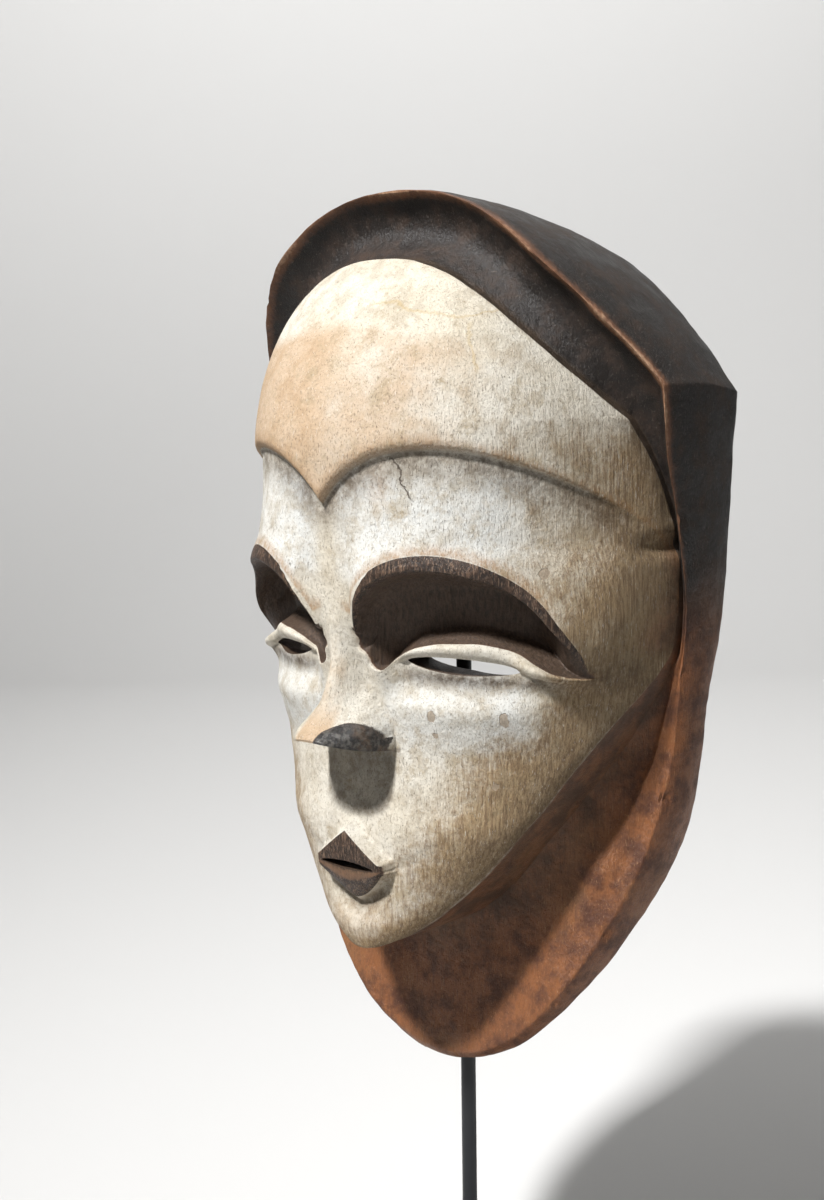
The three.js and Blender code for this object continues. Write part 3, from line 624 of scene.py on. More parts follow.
def cutter(name, front, columns, rows):
    """A closed tool between a curved front and a flat back, which takes the wood out of the mask."""
    bpy.ops.mesh.primitive_grid_add(x_subdivisions=columns, y_subdivisions=rows, size=2)
    tool = bpy.context.object
    tool.name = name
    plain = coords(tool.data)
    place(tool.data, front(plain[:, 0], (plain[:, 1] + 1) / 2))
    edit_all()
    bpy.ops.mesh.extrude_region_move(TRANSFORM_OT_translate={"value": (0, 1, 0)})
    mesh = bmesh.from_edit_mesh(tool.data)
    for vertex in mesh.verts:
        if vertex.select:
            vertex.co.y = BEYOND_BACK
    bmesh.update_edit_mesh(tool.data)
    bpy.ops.object.mode_set(mode="OBJECT")
    close_up(tool)
    return tool


def round_end(z, low, high, power):
    return np.sqrt(np.maximum(0, 1 - np.abs((2 * z - low - high) / (high - low)) ** power))


def across(side, width):
    x = width * np.sin(side * math.pi / 2)
    return x, np.where(width > 0, x / np.maximum(width, 1e-6), 0)


def scooped(points, share, size):
    """The hollow with the scoops of a curved blade, which fade out at its sides."""
    points[:, 1] += SCOOP_DEEP * scoops_on(points, size) * (1 - np.abs(share) ** 6) - SCOOP_DEEP / 2
    return points


def face_hollow(side, t):
    low, high = CHIN_ARC["low"] + WALL, HAIRLINE["top"] - WALL
    z = mix(low, high, (1 - np.cos(math.pi * t)) / 2)
    x, share = across(side, np.maximum(0, face_half_width(z) - WALL) * round_end(z, low, high, 5))
    aside = (np.abs(x) - BEHIND_SOCKET["x"]) / BEHIND_SOCKET["wide"]
    above = (z - BEHIND_SOCKET["z"]) / BEHIND_SOCKET["high"]
    socket = BEHIND_SOCKET["deep"] * np.exp(-(aside**2) - above**2) * (1 - np.abs(share) ** 4)
    y = mix(middle_depth(z) + WALL, FACE_HOLLOW_SIDE, round_back(share, 2.6)) + socket
    return scooped(np.stack([x, y, z], -1), share, 11)


bowl_depth = curve((86, 36), (96, 16), (130, 10), (170, 0), (210, -8), (250, -14), (285, -16), (300, -14),
                   (307, -6), (311, 12))


def back_hollow(side, t):
    low, high = BACK_HOLLOW["low"], BACK_HOLLOW["high"]
    z = mix(low, high, (1 - np.cos(math.pi * t)) / 2)
    x, share = across(side, (outline_half_width(z) - WALL) * round_end(z, low, high, 8))
    y = mix(bowl_depth(z), BACK_HOLLOW["side"], round_back(share, 3.5))
    return scooped(np.stack([x, y, z], -1), share, 12)


def slit_cutter(name, slit, side, sections):
    """A lens-shaped slit, drawn back through its sections."""
    bpy.ops.mesh.primitive_circle_add(vertices=72, radius=1, fill_type="NGON")
    tool = bpy.context.object
    tool.name = name
    around = coords(tool.data)

    def section(y, wider, higher):
        along = slit["half_length"] * wider * around[:, 0]
        up = slit["half_height"] * higher * around[:, 1] * np.abs(around[:, 1]) ** SLIT_POWER
        height = slit["z"] + up + side * slit["tilt"] * along
        return np.stack([side * slit["x"] + along, 0 * along + y, height], -1)

    place(tool.data, section(*sections[0]))
    edit_all()
    for before, after in zip(sections, sections[1:]):
        moved = dict(zip((tuple(np.round(p, 3)) for p in section(*before)), section(*after)))
        bpy.ops.mesh.extrude_region_move()
        mesh = bmesh.from_edit_mesh(tool.data)
        for vertex in mesh.verts:
            if vertex.select:
                vertex.co = moved[tuple(np.round(np.array(vertex.co), 3))]
        bmesh.update_edit_mesh(tool.data)
    bpy.ops.object.mode_set(mode="OBJECT")
    close_up(tool)
    return tool


def cut(piece, tool):
    modifier = piece.modifiers.new("cut", "BOOLEAN")
    modifier.operation = "DIFFERENCE"
    modifier.solver = "EXACT"
    modifier.material_mode = "TRANSFER"
    modifier.object = tool
    pick(piece)
    bpy.ops.object.modifier_apply(modifier=modifier.name)
    bpy.data.objects.remove(tool)


# What lies on the wood, and the shade and highlight painted on it, as amounts from 0 to 1 at every point.
# An oval is its middle x and z, half its width and half its height. A crack is a curve through x and z, and the
# stretch where it shows.
FAR_OFF = 9
INSIDE_COATS = {"paint": (0, 0, 0), "age": (0.25, 0, 0), "wood": (0, 0, 1), "marks": (0, 0, 0),
                "shown": (0, 0, 0), "lines": (FAR_OFF, FAR_OFF, FAR_OFF)}
NOSE_SCAR = (10.2, 130, 8.6, 11.5)
FAR_SCAR = (-15.5, 130.5, 2.6, 1.8)
EYE_CORNER = (81, 157, 5, 7)
BROW_STAIN = (24, 227, 3.5, 7)
# The nose's shadow painted on the lip below it, over soot: a rounded square
NOSE_SHADOW = {"z": 120, "wide": 17, "high": 16}
FLAKES = ((34.2, 143.9, 1.1, 1.8), (57.5, 143.2, 0.9, 2.4), (34.4, 136.6, 0.8, 0.9), (71, 196, 0.8, 1.4),
          (52, 118, 0.7, 1.1))
brow_crack = curve((221, 36.2), (226, 33.4), (229, 31.6), (232.5, 31.9), (236.5, 29.2), (240, 28.6))
brow_crack_shown = within(221, 223, 236, 238)
hair_crack = curve((9, 290.6), (19, 291.6), (27, 288), (34, 287.4), (44.5, 285.2), (52, 287.5), (60, 283))
hair_crack_shown = within(8, 12, 53, 58)
side_crack = curve((266, 53.5), (273.5, 50.4), (279, 48), (284.5, 47.2))
side_crack_shown = within(265, 268, 281, 285)


def oval(x, z, middle_and_reach):
    """Distance from an oval's middle, in shares of its reach."""
    middle_x, middle_z, wide, high = middle_and_reach
    return np.hypot((x - middle_x) / wide, (z - middle_z) / high)


def from_edge(x, z):
    """Distance in from the face's side edge. Above the hairline's corners no point is near it."""
    return np.where(z < HAIRLINE["z"], face_half_width(z) - x, 60)


def dark_paint(x, z, left, way, depth, drift, fine):
    """Black paint on the eye ridges and on the lips, and the dark scar beside the nose tip."""
    narrow = 0.75 * (1 - smoothstep(9, 26, x))
    band = smoothstep(0, 0.1, way - RIDGE_TOP - narrow)
    band = band * (1 - smoothstep(RIDGE_LOW + 0.1, RIDGE_LOW + 0.5, way)) * ridge_ends(x)
    lips = within(LIP_TOP - 0.12, LIP_TOP + 0.05, LIP_LOW - 0.05, LIP_LOW + 0.3)(way)
    lips = lips * (1 - smoothstep(15.3, 16.9, x - 0.5 * drift))
    scar = smoothstep(1.12, 0.88, oval(left, z, NOSE_SCAR) + 0.1 * fine) * (way < NOSE_UNDER)
    far_scar = smoothstep(1.15, 0.85, oval(left, z, FAR_SCAR))
    return band, lips, np.maximum(scar, far_scar) * (depth < -1)


def ochre_wash(x, z, left, way, lumps):
    """Warm ochre over the forehead, strongest on its far half, the bridge of the nose and the chin."""
    upper = way < BROW_CUT
    tan_brow = smoothstep(18, -22, left) * 0.35 + 0.62 * smoothstep(78, 25, left) + 0.08
    near_hair = smoothstep(278, 292, z + 0.12 * x + 5 * lumps)
    forehead = upper * tan_brow * (1 - 0.85 * near_hair) + 0.22 * lumps * upper
    bridge = within(RIDGE_TOP, LID, NOSE_EDGE + 0.1, NOSE_EDGE + 0.4)(way)
    bridge = bridge * (1 - smoothstep(4, 9, x - 0.1 * (150 - z)))
    bridge = (0.45 + 0.45 * smoothstep(150, 137, z)) * bridge
    chin = 0.5 * smoothstep(78, 62, z)
    return np.maximum.reduce([forehead, bridge, chin])


def brown_patina(x, z, left, way, lumps, drift):
    """Brown dirt rubbed into the cheeks, edges, brow ends and temples, fainter on the far side."""
    edge = from_edge(x, z)
    cheeks = smoothstep(50, 5, edge + 8 * drift) * smoothstep(152, 122, z)
    cheeks = cheeks * (1 - 0.45 * smoothstep(85, 62, z))
    sides = 0.95 * smoothstep(24, 3, edge + 5 * drift) * smoothstep(262, 230, z)
    brow_ends = 0.5 * (way < BROW_CUT) * smoothstep(38, 72, x) * smoothstep(270, 228, z)
    temples = 0.62 * smoothstep(48, 84, x + 6 * drift) * within(160, 185, 222, 240)(z)
    patina = np.maximum.reduce([cheeks, sides, brow_ends, temples]) + 0.12 * lumps
    return patina * np.where(left > 0, 1, 0.7)


def soot_and_painted_shade(x, z, way):
    """Soot and painted shade under the brow step, the eye slit, the nose and the lip, at the eye's outer corner
    and the jaw.
    """
    # Painted shade under the overhang of the brow step
    below_brow = within(BROW_TOP + 0.3, BROW_CUT, BROW_CUT + 0.03, BROW_CUT + 0.45)(way) * fade_brow(x - 5)
    # Painted shade in the groove under the lower lid
    below_lid = bell(z, 157.4 - 0.05 * (x - 43), 3.2) * within(17, 28, 66, 82)(x) * (way > SLIT)
    corner = bell(oval(x, z, EYE_CORNER), 0, 1)
    # Painted shadow of the lower lip on the chin
    below_lip = within(LIP_LOW + 0.2, UNDER_LIP, UNDER_LIP + 0.2, UNDER_LIP + 0.6)(way) * (x < 15)
    # Painted shade along the face's edge, where it drops back to the frame
    jaw = smoothstep(2.4, 0.2, from_edge(x, z))
    # Painted shade on the nose's underside
    nose_under = within(NOSE_EDGE + 0.02, NOSE_EDGE + 0.12, NOSE_UNDER - 0.1, NOSE_UNDER + 0.1)(way)
    # The nose's cast shadow painted below it, over sooted wood
    square = ((x / NOSE_SHADOW["wide"]) ** 4 + ((z - NOSE_SHADOW["z"]) / NOSE_SHADOW["high"]) ** 4) ** 0.25
    painted_nose_shadow = smoothstep(1.04, 0.92, square) * (way > NOSE_UNDER - 0.1)
    below_nose = np.maximum(nose_under * (x < 20), 0.8 * painted_nose_shadow)
    marks = [0.85 * below_brow, below_lid, 0.8 * corner, 0.6 * below_lip, 0.6 * jaw, 0.8 * below_nose]
    return np.maximum.reduce(marks)


def ochre_halo(x, z, left, way, depth):
    """Ochre that has crept out along the eye ridge, brow step and socket's lower edge, and one stain."""
    along_ridge = within(RIDGE_TOP - 0.13, RIDGE_TOP - 0.02, RIDGE_TOP, RIDGE_TOP + 0.1)(way)
    along_ridge = along_ridge * within(3, 8, 70, 78)(x)
    along_brow = 0.8 * within(BROW_TOP - 0.09, BROW_TOP - 0.01, BROW_TOP + 0.2, BROW_TOP + 0.6)(way)
    stain = 0.7 * bell(oval(left, z, BROW_STAIN), 0, 1)
    low_edge = 0.6 * smoothstep(0.25, 0.7, depth) * smoothstep(2.5, 1, depth)
    low_edge = low_edge * (way > ROOF) * (way < LID - 0.1)
    return np.maximum.reduce([along_ridge, along_brow, stain, low_edge])


def face_paint_and_shade(x, z, left, way, depth):
    """The coats of the white face and its painted shade by name, from the carving lines and from distances in
    mm.
    """
    front = np.stack([left, 0 * x, z], -1)
    lumps, drift, fine = noise_on(front, 20, 7), noise_on(front, 55, 8), noise_on(front, 4, 11)
    band, lips, scar = dark_paint(x, z, left, way, depth, drift, fine)
    # Dark bare wood in place of white in the eye sockets and under the eye ridges: partly brown dirt, partly
    # painted shade of the ridges
    shade_under_ridge = within(RIDGE_LOW, RIDGE_LOW + 0.2, ROOF + 0.5, ROOF + 1)(way) * ridge_ends(x)
    painted_socket_shade = smoothstep(0.5, 1.6, depth) * within(RIDGE_LOW + 0.2, ROOF, LID - 0.05, LID)(way) * (x < 81)
    mouth_line = within(LIP_SLIT + 0.02, LIP_SLIT + 0.2, LIP_SLIT + 0.35, LIP_SLIT + 0.7)(way)
    cool_brow = within(0, 12, 55, 76)(x) * within(188, 198, 226, 238)(z) * (way >= BROW_CUT)
    cool_cheek = within(12, 17, 58, 70)(x) * within(122, 138, 157, 160)(z)
    return {
        "black": np.maximum.reduce([band, 0.96 * lips, scar]),
        "ochre": ochre_wash(x, z, left, way, lumps),
        "soot": soot_and_painted_shade(x, z, way),
        "wear_and_highlight": 0.75 * lips * mouth_line + 0.35 * band,
        "patina": brown_patina(x, z, left, way, lumps, drift),
        "halo": ochre_halo(x, z, left, way, depth),
        "socket": np.maximum(painted_socket_shade, shade_under_ridge),
        "cool": np.maximum(cool_brow, cool_cheek),
        "flake": np.maximum.reduce([bell(oval(left, z, flake), 0, 1.2) for flake in FLAKES]),
        "scar": scar,
    }


def coats_and_painted_light(points, zone, way):
    """Colour fields for every point, in groups of three."""
    left, x, z = points[:, 0], np.abs(points[:, 0]), points[:, 2]
    on_face = zone == ON_FACE
    depth = points[:, 1] - plain_face(left, z)
    face = {name: field * on_face for name, field in face_paint_and_shade(x, z, left, way, depth).items()}

    lumps = noise_on(points, 22, 9)
    rim = np.where(zone == ON_FRAME, smoothstep(0.8, 0.97, way), 0)
    rim = rim + np.where(zone == ON_WALL, 1 - smoothstep(0.01, 0.1, way), 0)
    # Wear along the rim; its light crest, stronger toward the top, is partly painted highlight
    rim_wear_and_highlight = rim * (0.25 + 0.75 * smoothstep(175, 215, z)) * (0.8 + 0.5 * lumps)
    # Painted shade on the step under the face's edge, and the face's cast shadow painted on the frame beside it
    painted_collar_shadow = 0.65 * smoothstep(0.45, 0.05, way) * smoothstep(215, 170, z)
    soot = np.select([zone == ON_STEP, zone == ON_FRAME], [0.75, painted_collar_shadow], face["soot"])
    hood = (zone > ON_FACE) * smoothstep(150, 200, z + 14 * lumps)
    # Raw wood on the back, and in the sockets dark bare wood that is partly painted shade
    bare_wood_and_socket_shade = np.where(zone == ON_BACK, 1.0, face["socket"])
    rubbed = smoothstep(9, 0, from_edge(x, z) + 1.6 * lumps) * within(140, 170, 196, 236)(z)
    white = on_face * (1 - 0.97 * face["socket"]) * (1 - 0.56 * rubbed)
    cracks = (
        (left - brow_crack(z), brow_crack_shown(z) * (left > 0)),
        (z - hair_crack(left), hair_crack_shown(left)),
        (left - side_crack(z), side_crack_shown(z) * (left > 0)),
    )
    groups = {
        "paint": (white, face["black"], face["ochre"]),
        "age": (soot, np.maximum(face["wear_and_highlight"], rim_wear_and_highlight), face["patina"]),
        "wood": (hood, face["halo"], bare_wood_and_socket_shade),
        "marks": (face["flake"], face["scar"], face["cool"]),
        "shown": [on_face * amount for _, amount in cracks],
    }
    fields = {name: np.clip(np.stack(group, -1), 0, 1) for name, group in groups.items()}
    fields["lines"] = np.clip(np.stack([away for away, _ in cracks], -1), -FAR_OFF, FAR_OFF)
    return fields


# The worn, hand-cut surface: the swing of its slow and its quick waves, and the chips in its rim and edge
FACE_WAVES = (0.22, 0.1)
WOOD_WAVES = (0.5, 0.22)
STEEP_SHARE = 0.4
RIM_CHIPS = {"from": 0.35, "deep": 3.2, "worn": 0.2}
EDGE_CHIP = {"z": 203, "high": 3.4, "deep": 2.4}
ROD_TOUCHES = {"x": 3 * ROD_RADIUS, "z": 80}


def relief(points, zone, way):
    """How far the surface stands above or below its true form, in mm."""
    on_face = zone == ON_FACE
    slow_swing, quick_swing = (np.where(on_face, *swings) for swings in zip(FACE_WAVES, WOOD_WAVES))
    amount = slow_swing * noise_on(points, 14, 1) + quick_swing * noise_on(points, 5, 2)
    steep = on_face & (way > RIDGE_LOW) & (way < BOWL)
    amount[steep] *= STEEP_SHARE
    near_rod = (np.abs(points[:, 0]) < ROD_TOUCHES["x"]) & (points[:, 2] < ROD_TOUCHES["z"])
    amount[near_rod & (zone >= ON_WALL)] = 0
    rim = ((zone == ON_FRAME) & (way > 0.93)) | ((zone == ON_WALL) & (way < 0.07))
    chips = np.clip(noise_on(points[rim], 9, 5) - RIM_CHIPS["from"], 0, 1) * RIM_CHIPS["deep"]
    amount[rim] -= chips + RIM_CHIPS["worn"]
    edge_chip = bell(points[:, 2], EDGE_CHIP["z"], EDGE_CHIP["high"])
    edge_chip = edge_chip * smoothstep(83, 88, points[:, 0]) * (zone <= ON_STEP)
    return amount - EDGE_CHIP["deep"] * edge_chip


def plain_material(name):
    material = bpy.data.materials.new(name)
    material.use_nodes = True
    return material


# Sections through the slits from front to back: depth, width factor, height factor
EYE_SECTIONS = ((-90, 1, 1), (-42, 1, 1), (-20, 1.25, 3))
MOUTH_SECTIONS = ((-90, 1, 1), (-58, 1, 1), (-30, 1.1, 4))
WOOD_EDGE_ANGLE = 38
STEEL_EDGE_ANGLE = 35


def carve_out(block):
    """Takes the two hollows and the three slits out of the block. Cut faces get the second material slot."""
    block.data.materials.append(plain_material("outside"))
    tools = [cutter("face_hollow", face_hollow, 64, 64), cutter("back_hollow", back_hollow, 56, 56)]
    tools += [slit_cutter("eye_slit", EYE, side, EYE_SECTIONS) for side in (1, -1)]
    tools.append(slit_cutter("mouth_slit", MOUTH, 1, MOUTH_SECTIONS))
    inside = plain_material("inside")
    for tool in tools:
        tool.data.materials.append(inside)
        cut(block, tool)


def lay_coats(mesh, fields, uncut):
    """Gives each corner the coats of the uncut block's nearest point, and cut faces the hollow's coats."""
    tree = kdtree.KDTree(len(uncut))
    for n, point in enumerate(uncut):
        tree.insert(point, n)
    tree.balance()
    nearest = np.array([tree.find(point)[1] for point in coords(mesh)])
    corner_vertex = values_of(mesh.loops, "vertex_index", kind=int)
    face_slot = values_of(mesh.polygons, "material_index", kind=int)
    is_inside = np.repeat(face_slot, values_of(mesh.polygons, "loop_total", kind=int)) > 0
    for name, values in fields.items():
        colours = np.ones((len(corner_vertex), 4))
        colours[:, :3] = values[nearest[corner_vertex]]
        colours[is_inside, :3] = INSIDE_COATS[name]
        layer = mesh.color_attributes.new(name, "FLOAT_COLOR", "CORNER")
        layer.data.foreach_set("color", colours.ravel())


def build_mask():
    block = carved_block()
    mesh = block.data
    points = coords(mesh)
    zone = np.rint(values_of(mesh.attributes["zone"].data, "value"))
    way = values_of(mesh.attributes["way"].data, "value")
    outward = values_of(mesh.vertex_normals, "vector", 3)
    place(mesh, points + outward * relief(points, zone, way)[:, None])
    uncut = coords(mesh)
    carve_out(block)

    mesh = block.data
    for name in ("zone", "way"):
        mesh.attributes.remove(mesh.attributes[name])
    lay_coats(mesh, coats_and_painted_light(points, zone, way), uncut)
    mesh.polygons.foreach_set("material_index", np.zeros(len(mesh.polygons), int))
    mesh.materials.clear()
    mesh.transform(Matrix.Translation((0, 0, MASK_LIFT * MM)) @ Matrix.Scale(MM, 4))
    pick(block)
    bpy.ops.object.shade_smooth_by_angle(angle=math.radians(WOOD_EDGE_ANGLE))
    return block


# Materials: the colours of woods, paints and dirt, and of painted shade and highlight, as linear red, green and
# blue
COLOURS = {
    "red wood": (0.255, 0.096, 0.034),
    "deep red wood": (0.09, 0.032, 0.015),
    "light red wood": (0.30, 0.145, 0.06),
    "red wood fibre": (0.10, 0.038, 0.02),
    "fresh scratch": (0.50, 0.29, 0.14),
    "hood": (0.016, 0.012, 0.01),
    "brown hood": (0.05, 0.03, 0.02),
    "hood pore": (0.2, 0.165, 0.135),
    "hood scrape": (0.24, 0.19, 0.15),
    # Raw wood, also laid in the eye sockets as painted shade
    "raw wood": (0.05, 0.031, 0.02),
    "light raw wood": (0.105, 0.066, 0.043),
    "worn wood": (0.26, 0.115, 0.055),
    # Light bare wood of the worn rim, partly painted highlight on its crest
    "bare rim": (0.56, 0.35, 0.22),
    "chalk": (0.655, 0.595, 0.485),
    "cool chalk": (0.665, 0.665, 0.635),
    "thick chalk": (0.74, 0.71, 0.64),
    "thin chalk": (0.44, 0.385, 0.295),
    "patchy chalk": (0.46, 0.395, 0.30),
    "chalk pore": (0.80, 0.775, 0.71),
    "tan": (0.47, 0.32, 0.19),
    "light tan": (0.57, 0.43, 0.30),
    "grime": (0.36, 0.25, 0.13),
    "dark grime": (0.2, 0.122, 0.058),
    "ochre": (0.36, 0.20, 0.085),
    "stain": (0.37, 0.29, 0.18),
    "dot": (0.17, 0.115, 0.07),
    "dust": (0.2, 0.15, 0.1),
    "tick": (0.15, 0.105, 0.07),
    "flaked wood": (0.36, 0.28, 0.20),
    # Soot, also the colour of the painted shade
    "soot": (0.075, 0.049, 0.029),
    "ink": (0.022, 0.013, 0.009),
    "brown ink": (0.075, 0.042, 0.026),
    "scratched ink": (0.29, 0.19, 0.125),
    "rubbed ink": (0.22, 0.12, 0.065),
    "char": (0.02, 0.02, 0.021),
    # Grey of the burnt scar, partly painted glint of its shine
    "grey char": (0.12, 0.115, 0.105),
    "brown char": (0.16, 0.10, 0.06),
    "yellow crack": (0.50, 0.36, 0.16),
    "open crack": (0.07, 0.045, 0.03),
    "black steel": (0.017, 0.018, 0.02),
    "grey steel": (0.035, 0.037, 0.041),
    "pale floor": (0.7, 0.695, 0.685),
    "daylight": (0.80, 0.81, 0.83),
}
# A mix node's inputs for what lies under and over, and its output, by the kind of value it mixes
MIX_SOCKETS = {"RGBA": ("i6", "i7", 2), "FLOAT": ("i2", "i3", 0)}


def colour(name):
    return (*COLOURS[name], 1)


def painter(material):
    """Adds nodes to a material: make(type, settings, inputs) gives the new node.

    An input is named as on the node, or by its number after an i, and its value may be a colour's name.
    """
    tree = material.node_tree
    tree.nodes.clear()

    def make(kind, settings=None, **inputs):
        node = tree.nodes.new("ShaderNode" + kind)
        for key, value in (settings or {}).items():
            setattr(node, key, value)
        for key, value in inputs.items():
            numbered = key[0] == "i" and key[1:].isdigit()
            socket = node.inputs[int(key[1:]) if numbered else key.replace("_", " ")]
            if isinstance(value, bpy.types.NodeSocket):
                tree.links.new(value, socket)
            else:
                socket.default_value = colour(value) if isinstance(value, str) else value
        return node

    return make


def wood_mask_material():
    material = plain_material("painted_carved_wood")
    make = painter(material)
    where = make("TexCoord").outputs["Object"]

    def lumps(size_mm, detail, roughness, stretch=None):
        vector = where
        if stretch:
            vector = make("Mapping", Vector=where, Scale=stretch).outputs[0]
        scale = 1 / MM / size_mm
        return make("TexNoise", Vector=vector, Scale=scale, Detail=detail, Roughness=roughness).outputs["Fac"]

    def between(value, low, high, start=0.0, end=1.0):
        smooth = {"interpolation_type": "SMOOTHSTEP"}
        ends = {"From_Min": low, "From_Max": high, "To_Min": start, "To_Max": end}
        return make("MapRange", smooth, Value=value, **ends).outputs[0]

    def maths(operation, a, b=0.0):
        return make("Math", {"operation": operation}, i0=a, i1=b).outputs[0]

    def sway(pattern, amount):
        """A pattern's swing about its middle value."""
        return maths("MULTIPLY", maths("SUBTRACT", pattern, 0.5), amount)

    def blend(amount, under, over, kind="RGBA"):
        under_at, over_at, result = MIX_SOCKETS[kind]
        inputs = {"i0": amount, under_at: under, over_at: over}
        return make("Mix", {"data_type": kind}, **inputs).outputs[result]

    def layered(under, *layers):
        for amount, over in layers:
            under = blend(amount, under, over)
        return under

    def field(name):
        attribute = make("Attribute", {"attribute_name": name})
        return make("SeparateColor", Color=attribute.outputs["Color"]).outputs

    white, black, ochre = field("paint")
    soot, wear_and_highlight, patina = field("age")
    hood, halo, inside = field("wood")
    flake, scar, cool = field("marks")
    crack, hair_line, side_line = field("lines")
    crack_shown, hair_shown, side_shown = field("shown")

    # Patterns, from broad drifts to fine dust. A stretch sets how close the lumps lie along each axis.
    broad, mottle = lumps(40, 5, 0.6), lumps(11, 6, 0.68)
    patches, speck, dust = lumps(6, 6, 0.72), lumps(2.4, 5, 0.65), lumps(0.9, 3, 0.6)
    fibre = lumps(5, 6, 0.7, (5.0, 5.0, 0.5))
    pores = lumps(2.4, 3, 0.6, (5.0, 5.0, 1.5))
    scrapes = lumps(4, 4, 0.7, (1.2, 1.2, 5.0))
    hairs = lumps(2, 3, 0.6, (6.0, 6.0, 0.6))
    light_pores = lumps(2.4, 3, 0.6, (4.5, 4.5, 0.65))
    short_pores = lumps(1.7, 2, 0.5, (6.0, 6.0, 1.1))
    grain = maths("ADD", maths("MULTIPLY", speck, 0.5), maths("MULTIPLY", fibre, 0.5))

    # Bare wood: red-brown collar, near-black hood, raw brown inside and in the eye sockets, where it is partly
    # painted shade, worn light along the rim, its crest partly painted highlight
    red_wood = layered(
        "red wood",
        (between(mottle, 0.38, 0.66), "deep red wood"),
        (between(broad, 0.5, 0.68, 0, 0.55), "light red wood"),
        (between(fibre, 0.5, 0.66, 0, 0.5), "red wood fibre"),
        (between(hairs, 0.6, 0.7, 0, 0.45), "fresh scratch"),
    )
    dark_wood = layered(
        "hood",
        (between(mottle, 0.42, 0.7), "brown hood"),
        (between(pores, 0.6, 0.68, 0, 0.35), "hood pore"),
        (between(scrapes, 0.64, 0.7, 0, 0.3), "hood scrape"),
    )
    raw_wood = blend(between(fibre, 0.35, 0.65), "raw wood", "light raw wood")
    # Wear, with the painted highlight on the rim's crest, broken up by the grain
    worn = maths("ADD", wear_and_highlight, sway(grain, 1.1))
    wood = layered(
        red_wood,
        (hood, dark_wood),
        (inside, raw_wood),
        (between(worn, 0.15, 0.95, 0, 0.85), "worn wood"),
        (between(worn, 0.75, 1.15), "bare rim"),
    )

    # White earth over the face, with ochre and brown patina rubbed into it, then stains, pores and dots
    tan = blend(between(mottle, 0.35, 0.65), "tan", "light tan")
    tinted = maths("ADD", ochre, sway(mottle, 0.9))
    grime = blend(between(fibre, 0.4, 0.62), "grime", "dark grime")
    rubbed = maths("ADD", maths("ADD", patina, sway(grain, 1.5)), sway(mottle, 0.8))
    ringed = maths("MULTIPLY", halo, between(grain, 0.38, 0.62, 0.35, 1.0))
    small_stains = between(lumps(5, 5, 0.7), 0.56, 0.66, 0, 0.5)
    stains = maths("ADD", between(lumps(16, 7, 0.75), 0.53, 0.66), small_stains)
    dots = between(pores, 0.6, 0.7, 0, 0.42)
    ticks = between(short_pores, 0.64, 0.69, 0, 0.6)
    chalk = layered(
        "chalk",
        (cool, "cool chalk"),
        (between(broad, 0.4, 0.62, 0, 0.6), "thick chalk"),
        (between(mottle, 0.46, 0.7, 0, 0.75), "thin chalk"),
        (between(patches, 0.5, 0.62, 0, 0.4), "patchy chalk"),
        (between(tinted, 0.2, 0.95, 0, 0.95), tan),
        (between(rubbed, 0.12, 0.95, 0, 0.95), grime),
        (maths("MULTIPLY", ringed, 0.75), "ochre"),
        (maths("MULTIPLY", stains, 0.55), "stain"),
        (between(light_pores, 0.62, 0.7, 0, 0.45), "chalk pore"),
        (dots, "dot"),
        (between(dust, 0.6, 0.68, 0, 0.4), "dust"),
        (ticks, "tick"),
    )
    flaked = between(maths("ADD", flake, maths("MULTIPLY", lumps(8, 6, 0.7), 0.5)), 0.52, 0.58)
    cover = between(maths("ADD", white, maths("MULTIPLY", grain, 0.3)), 0.5, 0.75)
    cover = maths("MULTIPLY", cover, maths("SUBTRACT", 1.0, maths("MULTIPLY", flaked, 0.8)))
    bare = blend(between(flaked, 0.2, 0.8), wood, "flaked wood")

    # Black paint on ridges and lips, scratched and rubbed, and the burnt scar beside the nose tip, whose grey
    # mottling is partly painted glint
    edge = between(maths("ADD", black, sway(grain, 0.7)), 0.4, 0.56)
    scratched = maths("MAXIMUM", between(fibre, 0.56, 0.66, 0, 0.6), between(hairs, 0.57, 0.64, 0, 0.75))
    burnt = layered(
        "char",
        (between(speck, 0.45, 0.62), "grey char"),
        (between(mottle, 0.52, 0.66, 0, 0.6), "brown char"),
    )
    ink = layered(
        "ink",
        (between(grain, 0.42, 0.62), "brown ink"),
        (scratched, "scratched ink"),
        (between(worn, 0.35, 0.85, 0, 0.9), "rubbed ink"),
        (maths("MULTIPLY", scar, 0.9), burnt),
    )

    def hair(distance, shown, width, softness):
        """A thin wavering line where the distance is near zero."""
        away = maths("ABSOLUTE", maths("ADD", distance, sway(speck, 3.0)))
        return maths("MULTIPLY", between(away, width, width + softness, 1.0, 0.0), shown)

    # Soot and painted shade, made uneven by the mottle
    sooted_and_shaded = maths("MULTIPLY", soot, between(maths("ADD", mottle, speck), 0.75, 1.25, 0.45, 1.0))
    yellow = maths("MAXIMUM", hair(hair_line, hair_shown, 0.15, 0.7), hair(side_line, side_shown, 0.12, 0.6))
    split = hair(crack, crack_shown, 0.1, 0.35)
    surface = layered(
        bare,
        (cover, chalk),
        (maths("MULTIPLY", sooted_and_shaded, 0.95), "soot"),
        (edge, ink),
        (maths("MULTIPLY", yellow, 0.4), "yellow crack"),
        (maths("MULTIPLY", split, 0.75), "open crack"),
    )

    # Gloss: chalk is dull, oiled wood and black paint have a low shine, the scar is polished
    dull = maths("MULTIPLY", cover, maths("SUBTRACT", 1.0, edge))
    shiny = blend(scar, between(mottle, 0.3, 0.7, 0.4, 0.62), 0.24, "FLOAT")
    rough = blend(dull, shiny, 0.84, "FLOAT")

